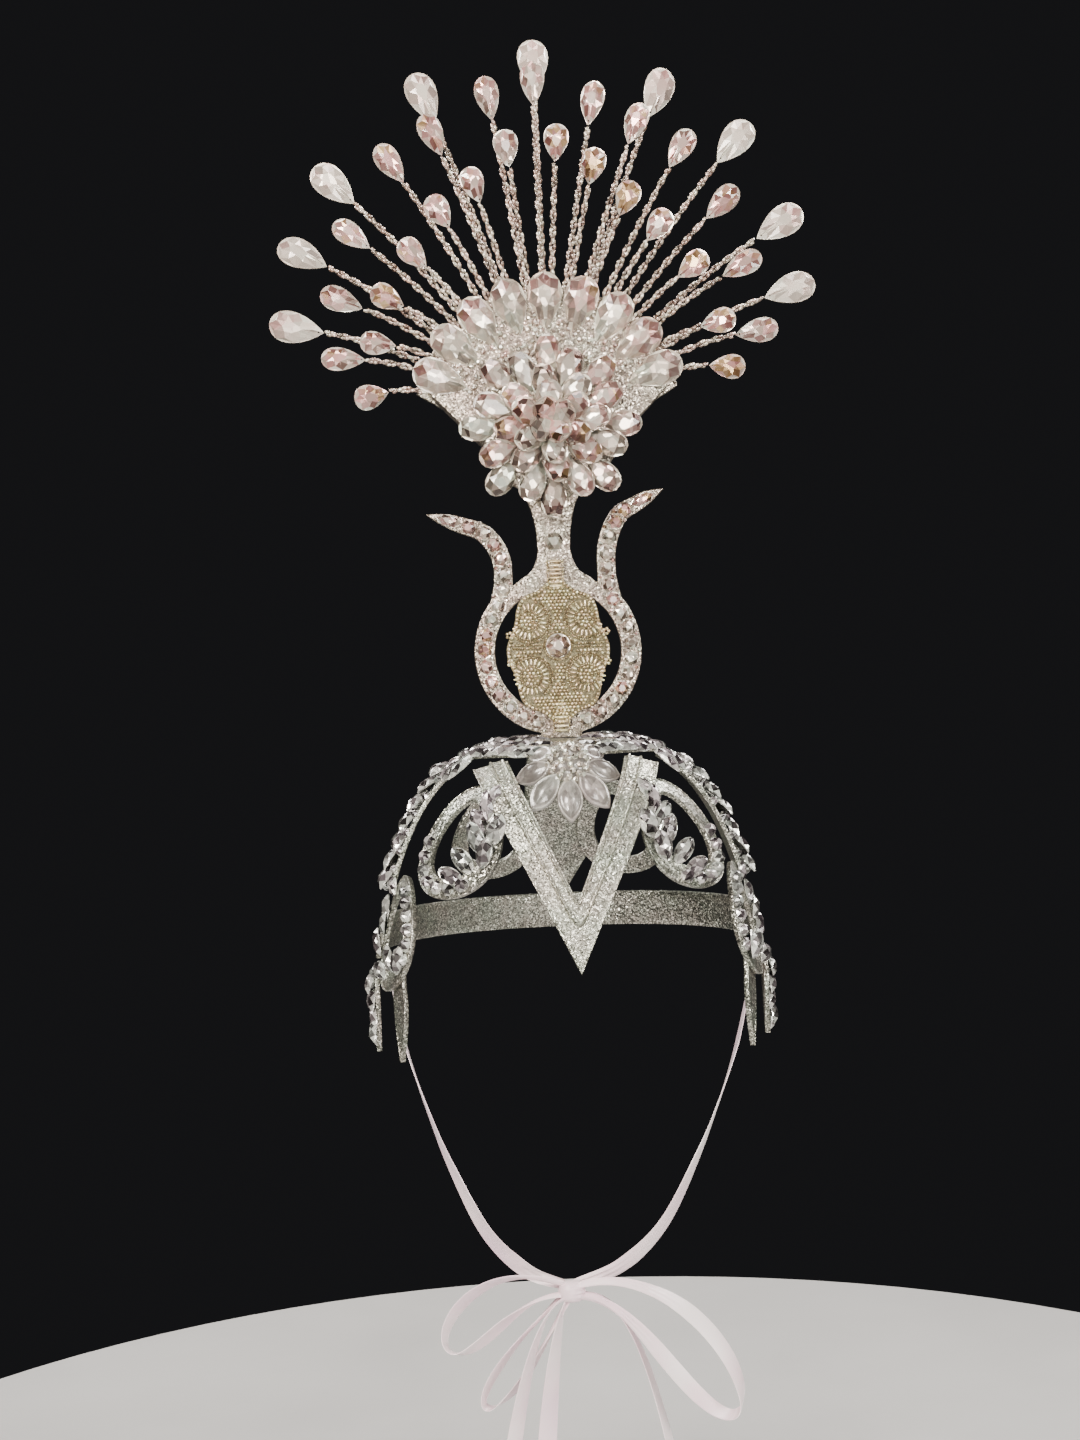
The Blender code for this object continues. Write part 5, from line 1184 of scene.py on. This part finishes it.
def fanCore():
    row, height = fanLook, crestLook["fanHeight"]
    waist, neck = height - fanFlowerLook["drop"] - fanFlowerLook["baseRadius"], crestLook["neckHalfWidth"]
    outline = np.vstack([fanArc(row["coreRadius"]), [(-neck, waist), (neck, waist)]])
    face = -clearance - row["coreDepth"]
    core = flatBoard("fanCore", [outline], face, -clearance, row["coreEdge"], crestSilver)
    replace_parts(core, "fan_core")
    turn = np.radians(row["rimHalfAngle"] * (1 - 2 * np.arange(row["rimStones"]) / (row["rimStones"] - 1)))
    spoke = joined(-np.sin(turn), 0.0, np.cos(turn))
    start = row["rimReach"] - row["largeDrop"][0] * math.cos(math.radians(row["rimTilt"]))
    origin = crestAt + [0, face + row["rimRaise"], height] + spoke * start
    turned = tipped(*raisedBy(row["rimTilt"], spoke, forward), 201, 7, 2)
    addStones("rimDrops", origin, *turned, row["largeDrop"])
    # chips: seeded places on the fan's face between the flower and the rim, each tipped its own way
    chance, count = np.random.default_rng(211), row["chips"]
    radius = np.sqrt(chance.uniform(*(reach ** 2 for reach in row["chipsOver"]), count))
    turn = np.radians(chance.uniform(-row["chipsHalf"], row["chipsHalf"], count))
    spots = joined(-radius * np.sin(turn), face + row["chipRaise"], height + radius * np.cos(turn)) + crestAt
    size = chance.uniform(*row["chip"], count)
    spin = chance.uniform(0, 2 * np.pi, count)
    along, normal = tipped(joined(np.cos(spin), 0.0, np.sin(spin)), np.tile(forward, (count, 1)), 213, 22, 22)
    sizes = joined(size, size, size * row["chipHeight"])
    addStones("fanChips", spots - along * size[:, None] / 2, along, normal, sizes)


# rings of drops: count, share of the reach, tilt forwards, share of a step round, length, level above the
# base; the base's rings are shares of its radius, and of its own depth or of the dome's
fanFlowerLook = {
    "drop": 0.0055, "baseRadius": 0.034, "baseDepth": 0.0055, "reach": 0.0445, "step": 0.0022, "twist": 3.0,
    "width": 0.013, "height": 0.0046, "shares": np.array([1, 1, 0.97, 0.86, 0.7, 0.5, 0.3, 0.12]),
    "baseShares": np.array([0, 0.8, 1]), "domeShares": np.array([0.45, 0.55, 0.66, 0.8, 0.9]),
    "rings": ((8, 1.00, 3, 0.0, 0.024, 0), (8, 0.87, 8, 0.5, 0.024, 1), (8, 0.65, 13, 0.0, 0.024, 2.2),
              (6, 0.46, 24, 0.4, 0.023, 3.3), (4, 0.27, 44, 0.2, 0.019, 4.4)),
}


def fanFlower():
    row = fanFlowerLook
    back = clearance * 2 + fanLook["coreDepth"]
    middle = np.array([0, 0, crestLook["fanHeight"] - row["drop"]]) + crestAt
    dome = row["baseDepth"] + row["step"] * 5
    depths = np.concatenate([row["baseShares"] * row["baseDepth"], row["domeShares"] * dome])[:, None, None]
    turns = fullTurn(64)
    spoke = (row["baseRadius"] * row["shares"])[:, None, None] * joined(np.cos(turns), 0.0, np.sin(turns))
    rings = middle + forward * (depths + back) + spoke
    foamPiece("fanFlowerBase", "fan_flower", rings, False, crestSilver, 35.0)
    for number, (count, end, degrees, shift, length, level) in enumerate(row["rings"]):
        start = row["reach"] * end - length * math.cos(math.radians(degrees))
        depth = back + row["baseDepth"] + row["step"] * level - stoneSink
        turn = 2 * np.pi * (np.arange(count) + shift) / count + math.radians(row["twist"] * level)
        spoke = joined(np.cos(turn), 0.0, np.sin(turn))
        turned = tipped(*raisedBy(degrees, spoke, forward), 221 + number, 14, 4)
        origin = middle + spoke * start + forward * depth
        addStones("flowerDrops", origin, *turned, (length, row["width"], row["height"]))


crestBoard()
medallion()
fanCore()
fanFlower()
print("crest board, medallion, fan and flower made")

# Beaded sprays

sprayLook = {
    "strand": 0.00100, "taper": 0.35, "twistPitch": 0.0150, "beadLength": 0.0026, "beadWidth": 0.0019,
    "beadPitch": 0.0027, "endGap": 0.0004, "curl": 0.04, "dropStart": 0.02, "dropLength": 0.98,
    "dropHeight": 0.6,
}
# depth is the share of the way back through the core; each spray is degrees from upright and share of reach
sprayRows = {
    "outer": {
        "reach": 0.178, "depth": 0.82, "lean": -0.08, "drop": (0.028, 0.0155, 0.0062),
        "sprays": ((66.5, 0.74), (53, 0.82), (39.5, 0.88), (18.5, 0.96), (0, 1.00), (-20.5, 0.97),
                   (-35.5, 0.94), (-51, 0.85), (-62.5, 0.77)),
    },
    "middle": {
        "reach": 0.163, "depth": 0.50, "lean": 0.02, "drop": (0.022, 0.0120, 0.0050),
        "sprays": ((70.5, 0.64), (57.5, 0.71), (44.5, 0.80), (29.5, 0.89), (20, 0.91), (8.5, 0.97),
                   (0.5, 1.00), (-10, 0.95), (-18.5, 0.92), (-28, 0.90), (-40.5, 0.83), (-53, 0.74),
                   (-68, 0.68)),
    },
    "inner": {
        "reach": 0.131, "depth": 0.175, "lean": 0.13, "drop": (0.018, 0.0122, 0.0050),
        "sprays": ((79.5, 0.67), (63.5, 0.69), (51, 0.74), (37.5, 0.78), (26, 0.85), (16, 0.89), (7, 0.99),
                   (-3.5, 1.00), (-12, 0.93), (-21.5, 0.85), (-31.5, 0.81), (-45, 0.77), (-61.5, 0.72),
                   (-74.5, 0.69)),
    },
}


def spray(rowName, number, row, angle, share):
    # the stem leaves its foot at the turn less a small curl that fades with the square of the way out, and
    # leans back or forward with that square; two strands of beads wind round it half a turn apart
    look = sprayLook
    length, width, height = row["drop"]
    foot = fanLook["coreRadius"] + clearance
    run = row["reach"] * share - length / 2 - foot
    s = np.linspace(0, 1, 200)
    bend = math.radians(angle) * (1 - look["curl"] * (1 - s ** 2))
    radius = foot + run * s
    depth = -(clearance + fanLook["coreDepth"] * (1 - row["depth"])) - row["lean"] * run * s ** 2
    stem = joined(-radius * np.sin(bend), depth, crestLook["fanHeight"] + radius * np.cos(bend)) + crestAt
    along = unit(np.gradient(stem, axis=0))
    right = unit(np.cross(along, [0, 1.0, 0]))
    toward = np.cross(right, along)
    seed = number + 40 * len(rowName)
    phase = np.random.default_rng(400 + seed).uniform(0, 2 * np.pi)
    wound = phase + 2 * np.pi * s * run / look["twistPitch"]
    away = (look["strand"] * (1 - look["taper"] * s ** 2))[:, None]
    strands = []
    for half, start in ((0, 0.5), (np.pi, 1.0)):
        turn = (wound + half)[:, None]
        strand = stem + away * (right * np.cos(turn) + toward * np.sin(turn))
        strands.append(evenPlaces(strand, look["beadPitch"] * start, look["beadPitch"], look["endGap"]))
    centres, axes = (np.vstack(part) for part in zip(*strands))
    beads = setBeads(f"{rowName}Spray{number}", centres, axes, look["beadLength"], look["beadWidth"],
                     beadSilver, 300 + seed)
    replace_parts(beads, f"{rowName}_spray_{number}")
    way, facing = tipped(along[-1:], -toward[-1:], 500 + seed, 16, 5)
    size = (length * look["dropLength"], width, height * look["dropHeight"])
    addStones(f"{rowName}Drops", stem[-1:] + way * length * look["dropStart"], way, facing, size)


for rowName, row in sprayRows.items():
    for number, (angle, share) in enumerate(row["sprays"], 1):
        spray(rowName, number, row, angle, share)
print("sprays made")

# Fields of stones

# a cut's rim value is the painted brightness of its rim facets: a painted glint when high, painted shade when
# low
pearFree = cutOf("pear", table=0.36, middle=0.72, back=0.66)
navetteFlat = cutOf("navette", sectors=6, table=0.42, middle=0.76, rim=0.86)
chipCut = cutOf("round", sectors=4, per=2, table=0.45, middle=0.8)
bagLook = {
    "capRounds": (cutOf("round", sectors=6, table=0.46, middle=0.78, rim=0.84), smoky,
                  {"hues": (0.1, 0.9), "contrast": 0.42, "body": 0.14}),
    "capNavettes": (navetteFlat, smoky, {"hues": (0.1, 0.9), "contrast": 0.34}),
    "hubStones": (chipCut, crystal, {"hues": (0.0, 0.26), "contrast": 0.35}),
    "lyreStones": (cutOf("round", sectors=6, table=0.46, middle=0.78, rim=0.34), crystal,
                   {"hues": (0.10, 0.90), "contrast": 0.44}),
    "lyreChips": (chipCut, crystal, {"hues": (0.1, 0.9), "contrast": 0.45}),
    "hornNavettes": (navetteFlat, crystal, {"hues": (0.4, 0.9), "contrast": 0.35}),
    "middleStone": (cutOf("round", table=0.42, middle=0.74), crystal,
                    {"hues": (0.45, 0.5), "contrast": 0.40}),
    "rimDrops": (cutOf("pear", table=0.40, middle=0.76), pearly,
                 {"hues": (0.05, 0.48), "blush": 0.80, "contrast": 0.26, "roundEndShade": 0.12}),
    "fanChips": (chipCut, pearly, {"hues": (0.1, 0.5), "contrast": 0.5}),
    "flowerDrops": (cutOf("pear", sectors=7, table=0.56, middle=0.84, rise=0.62), crystal,
                    {"hues": (0.00, 0.58), "blush": 0.50, "contrast": 0.20, "roundEndShade": 0.16, "body": 0.16}),
    "outerDrops": (pearFree, milky, {"hues": (0.24, 0.52), "blush": 0.40, "contrast": 0.26}),
    "middleDrops": (pearFree, dropCrystal, {"hues": (0.50, 0.72), "blush": 0.20, "contrast": 0.32}),
    "innerDrops": (pearFree, dropCrystal, {"hues": (0.55, 1.00), "blush": 0.15, "contrast": 0.36}),
}
# holes: share of the stone's length, and how far the hole leans along it
sewingLook = {
    "length": 0.0005, "width": 0.0010, "depth": 0.42,
    "holes": {"flowerDrops": (0.93, 0.35), "outerDrops": (0.09, -0.35), "middleDrops": (0.09, -0.35),
              "innerDrops": (0.09, -0.35)},
}


def setFields():
    for number, (bag, (cut, material, look)) in enumerate(bagLook.items()):
        setStones(bag, cut, gathered(bag), material, 700 + number, **look)
    # a small sewing hole through the round end of each flower stone and through the tip of each spray's drop,
    # drawn as a short dark bead: painted shade inside the hole
    spots, facing = [], []
    for bag, (share, lean) in sewingLook["holes"].items():
        origin, along, normal, size = gathered(bag)
        spots.append(origin + along * size[:, :1] * share + normal * size[:, 2:] * sewingLook["depth"])
        facing.append(unit(normal + along * lean))
    setBeads("sewingHoles", np.vstack(spots), np.vstack(facing), sewingLook["length"], sewingLook["width"],
             holeShade, 720, (0.0, 0.3))


setFields()
print("stones set:", sum(len(entry[0]) for bag in stoneBags.values() for entry in bag))

# Satin ribbons

# the strap's line is in shares of the way from its start to the knot; loops and tails are in shares of their
# reach: out to the side, down, forward, how far a loop's two halves stand apart, and the twist in degrees
ribbonLook = {
    "width": 0.010, "thickness": 0.00035, "gather": 0.45, "gatherRate": 3.0, "cup": 0.0004, "pleat": 0.0013,
    "strapAzimuth": 78.0, "strapDrop": 0.0985, "knot": np.array([-0.008, -0.050, -0.252]),
    "knotSize": (0.013, 0.010, 0.010), "solid": 0.001, "reach": 0.070, "tail": 0.085, "slant": 0.0028,
    "strapLine": ((0, 0, 0), (0.06, 0.01, 0.17), (0.12, 0.04, 0.31), (0.21, 0.10, 0.46), (0.33, 0.20, 0.63),
                  (0.53, 0.42, 0.845), (0.76, 0.72, 0.96), (1, 1, 1)),
    "loops": {
        "Left": {"out": -0.85, "down": 0.30, "arch": 0.08, "open": 0.125, "start": 0.010, "forward": 0.17,
                 "twist": 40},
        "Right": {"out": 1.06, "down": 0.80, "arch": 0.06, "open": 0.150, "start": -0.008, "forward": 0.23,
                  "twist": 40},
        "Low": {"out": -0.60, "down": 0.78, "arch": -0.18, "open": 0.070, "start": 0.022, "forward": -0.04,
                "twist": 30},
    },
    "tails": {
        "Left": {"out": -0.40, "curve": 0.45, "start": -0.012, "forward": 0.10, "twist": 60},
        "Middle": {"out": -0.19, "curve": 0.50, "start": 0.015, "forward": 0.01, "twist": 75},
        "Right": {"out": 0.54, "curve": 0.33, "start": 0.003, "forward": 0.06, "twist": 25},
    },
}


def ribbon(name, line, twist, pinchedStart, pinchedEnd, slant=0.0):
    # a flat band along a line: its width starts as front to back and is turned by the twist about the line;
    # where it is pinched it narrows and its cross-section takes a cosine pleat
    row = ribbonLook
    along = unit(np.gradient(line, axis=0))
    across = unit(np.array([0, 1.0, 0]) - along * along[:, 1:2])
    angle = np.radians(np.broadcast_to(twist, len(line)))[:, None]
    across = across * np.cos(angle) + np.cross(along, across) * np.sin(angle)
    normal = unit(np.cross(along, across))
    share = np.linspace(0, 1, len(line))
    away = np.minimum(share if pinchedStart else 1.0, 1 - share if pinchedEnd else 1.0)
    gather = np.minimum(1.0, row["gather"] + away * row["gatherRate"])[:, None]
    c = np.linspace(-1, 1, 13)
    rise = row["cup"] * (1 - c ** 2)[None, :] + row["pleat"] * (1 - gather) * np.cos(3 * np.pi * c)[None, :]
    spread = row["width"] / 2 * gather * c[None, :]
    middle = line[:, None, :] + across[:, None, :] * spread[..., None] + normal[:, None, :] * rise[..., None]
    middle[-1] += along[-1] * slant * c[:, None]
    thick = normal[:, None, :] * row["thickness"] / 2
    points = np.concatenate([middle + thick, (middle - thick)[:, ::-1]], axis=1)
    reach = lengthAlong(line)
    lay = joined(reach[:, None], row["width"] / 2 * np.concatenate([c, c[::-1]])[None, :])
    piece = meshPiece(name, points, tubeFaces(len(line), 26), satin, sharp=60.0, uv=lay)
    return piece


def strap(hand, side):
    # from inside the side scroll down the cheek to just behind the knot
    row = ribbonLook
    width, depth, height = row["knotSize"]
    sheet = sheetAt(side * row["strapAzimuth"], row["strapDrop"])
    start = onForm(sheet["anchor"], layerLift(0) - clearance - row["solid"] / 2)[0]
    end = row["knot"] + [side * width * 0.12, depth / 2 + clearance, height * 0.15]
    line = smoothLine(start + np.array(row["strapLine"]) * (end - start), 12)
    facing = math.degrees(math.asin(sheet["east"][0]))
    twist = side * np.interp(np.linspace(0, 1, len(line)), np.linspace(0, 1, 5), (facing, 0, 15, 45, 80))
    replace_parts(ribbon(f"strap{hand.title()}", line, twist, False, True), f"ribbon_{hand}")


def bowLoops():
    # a loop goes out and back with a power of the turn's sine, its halves apart with the sine of twice it
    row = ribbonLook
    turn = np.linspace(0, np.pi, 81)
    out = np.maximum(np.sin(turn), 0) ** 0.8
    for hand, part in row["loops"].items():
        middleUp = part["arch"] * 4 * out * (1 - out) - part["down"] * out ** 2
        slope = unit(joined(part["out"], 0.0, -2 * part["down"] * out))
        side = joined(-slope[:, 2], 0.0, slope[:, 0]) * math.copysign(1, part["out"])
        apart = (part["open"] * np.sin(2 * turn) + 0.030 * np.cos(turn))[:, None]
        line = joined(part["out"] * out, part["start"] - part["forward"] * out, middleUp) + side * apart
        twist = part["twist"] * np.sin(2 * turn)
        ribbon(f"bowLoop{hand}", row["knot"] + row["reach"] * line, twist, True, True)


def bowTails():
    # a tail goes out sideways with a power of the way down
    row = ribbonLook
    down = np.linspace(0, 1, 49) ** 1.5
    for hand, part in row["tails"].items():
        ahead = part["start"] - part["forward"] * down
        line = joined(part["out"] * down ** part["curve"], ahead, -0.02 - down)
        twist = part["twist"] * np.linspace(0, 1, 49)
        ribbon(f"bowTail{hand}", row["knot"] + row["tail"] * line, twist, True, False, row["slant"])


def bowKnot():
    # a squarish barrel with shallow folds: radius from a rounded profile of the height and the turn's cosine
    width, depth, height = ribbonLook["knotSize"]
    turns = fullTurn(48)[None, :]
    heights = np.sin(np.linspace(-np.pi / 2, np.pi / 2, 21))[:, None]
    profile = np.maximum(1 - np.abs(heights) ** 3.2, 0.0) ** 0.45 * 0.92 + 0.08
    radius = profile * (1 + 0.045 * np.cos(5 * np.pi * heights) * np.cos(turns + 0.6))
    across, deep = width / 2 * radius * np.cos(turns), depth / 2 * radius * np.sin(turns)
    points = joined(across, deep, height / 2 * heights) + ribbonLook["knot"]
    lay = joined(turns * 0.006, heights * height / 2)
    piece = meshPiece("bowKnot", points, tubeFaces(21, 48), satin, uv=lay)
    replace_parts(piece, "bow")


for hand, side in hands:
    strap(hand, side)
bowLoops()
bowTails()
bowKnot()
print("ribbons made")

# Floor, lights and camera

# lights: place, size, power and colour; the camera is level and straight in the photograph, and the headdress
# leans and turns a little against it about its pivot
studioLook = {
    "floorHeight": -0.40, "floorRadius": 0.50, "worldColour": (0.010, 0.010, 0.011, 1), "worldStrength": 1.0,
    "floorStops": ((0.3, 0.40, 0.395, 0.39), (0.7, 0.45, 0.445, 0.44)), "aim": np.array([0.0, 0.0, 0.03]),
    "lights": {
        "keyLeft": ((-0.9, -1.5, 0.9), 0.5, 50.0, (1.0, 0.94, 0.87)),
        "fillRight": ((1.4, -1.1, 0.3), 0.45, 24.0, (1.0, 0.96, 0.91)),
        "frontLow": ((0.1, -1.7, -0.2), 0.4, 15.0, (1.0, 0.95, 0.89)),
        "topSoft": ((0.0, -0.3, 1.6), 0.6, 20.0, (1.0, 0.96, 0.91)),
        "sparkleLeft": ((-0.6, -1.3, 0.25), 0.10, 6.0, (1.0, 0.93, 0.86)),
        "sparkleRight": ((0.7, -1.2, 0.75), 0.10, 6.0, (1.0, 0.97, 0.93)),
        "backLeft": ((-1.0, 1.0, 1.15), 0.6, 30.0, (1.0, 0.96, 0.92)),
        "backRight": ((1.0, 1.0, 1.10), 0.6, 30.0, (1.0, 0.96, 0.92)),
    },
    "camera": {"lens": 50.0, "sensor_width": 36.0, "clip_start": 0.05}, "cameraPlace": (-0.017, -1.0, 0.0175),
    "shift": (-0.0062, -0.015, 0.0086), "lean": -2.4, "turn": 2.2, "pivot": (0, 0.015, -0.0103),
}


def studio():
    row = studioLook
    turns = fullTurn(96)[None]
    radii = row["floorRadius"] * np.array([0.001, 0.4, 0.8, 1.0, 1.0, 0.001])[:, None]
    heights = row["floorHeight"] - np.array([0, 0, 0, 0, 0.01, 0.01])[:, None]
    points = joined(radii * np.cos(turns), radii * np.sin(turns), heights).reshape(-1, 3)
    material, tree, shader = newMaterial("paleFloor", row["floorStops"][0][1:], 0.7)
    cloud = objectPattern(tree, "TexNoise", 6.0, Detail=4.0)["Fac"]
    feed(tree, shader, {"Base Color": ramp(tree, cloud, row["floorStops"])})
    mesh = bpy.data.meshes.new("paleFloor")
    mesh.from_pydata(points.tolist(), [], [face for block in tubeFaces(6, 96) for face in block.tolist()])
    mesh.materials.append(material)
    linked("paleFloor", mesh)
    world = bpy.data.worlds.new("softRoom")
    world.use_nodes = True
    sky = {"Color": row["worldColour"], "Strength": row["worldStrength"]}
    feed(world.node_tree, world.node_tree.nodes["Background"], sky)
    bpy.context.scene.world = world
    for name, (place, size, power, colour) in row["lights"].items():
        light = bpy.data.lights.new(name, "AREA")
        light.shape = "SQUARE"
        light.size = size
        light.energy = power
        light.color = colour
        back = unit(place - row["aim"])
        right = unit(np.cross([0, 0, 1.0], back))
        turned = np.column_stack([right, np.cross(back, right), back, place])
        linked(name, light).matrix_world = Matrix([*turned.tolist(), (0, 0, 0, 1)])


def photoCamera():
    row = studioLook
    pose = Matrix.Translation(row["shift"]) @ Matrix.Rotation(math.radians(row["lean"]), 4, "Y")
    pose = pose @ Matrix.Rotation(math.radians(row["turn"]), 4, "Z") @ Matrix.Translation(row["pivot"])
    camera = bpy.data.cameras.new("photoCamera")
    for key, value in row["camera"].items():
        setattr(camera, key, value)
    holder = linked("photoCamera", camera)
    stand = Matrix.Translation(row["cameraPlace"]) @ Matrix.Rotation(math.radians(90), 4, "X")
    holder.matrix_world = pose.inverted() @ stand
    bpy.context.scene.camera = holder


studio()
photoCamera()
print("studio and camera made")
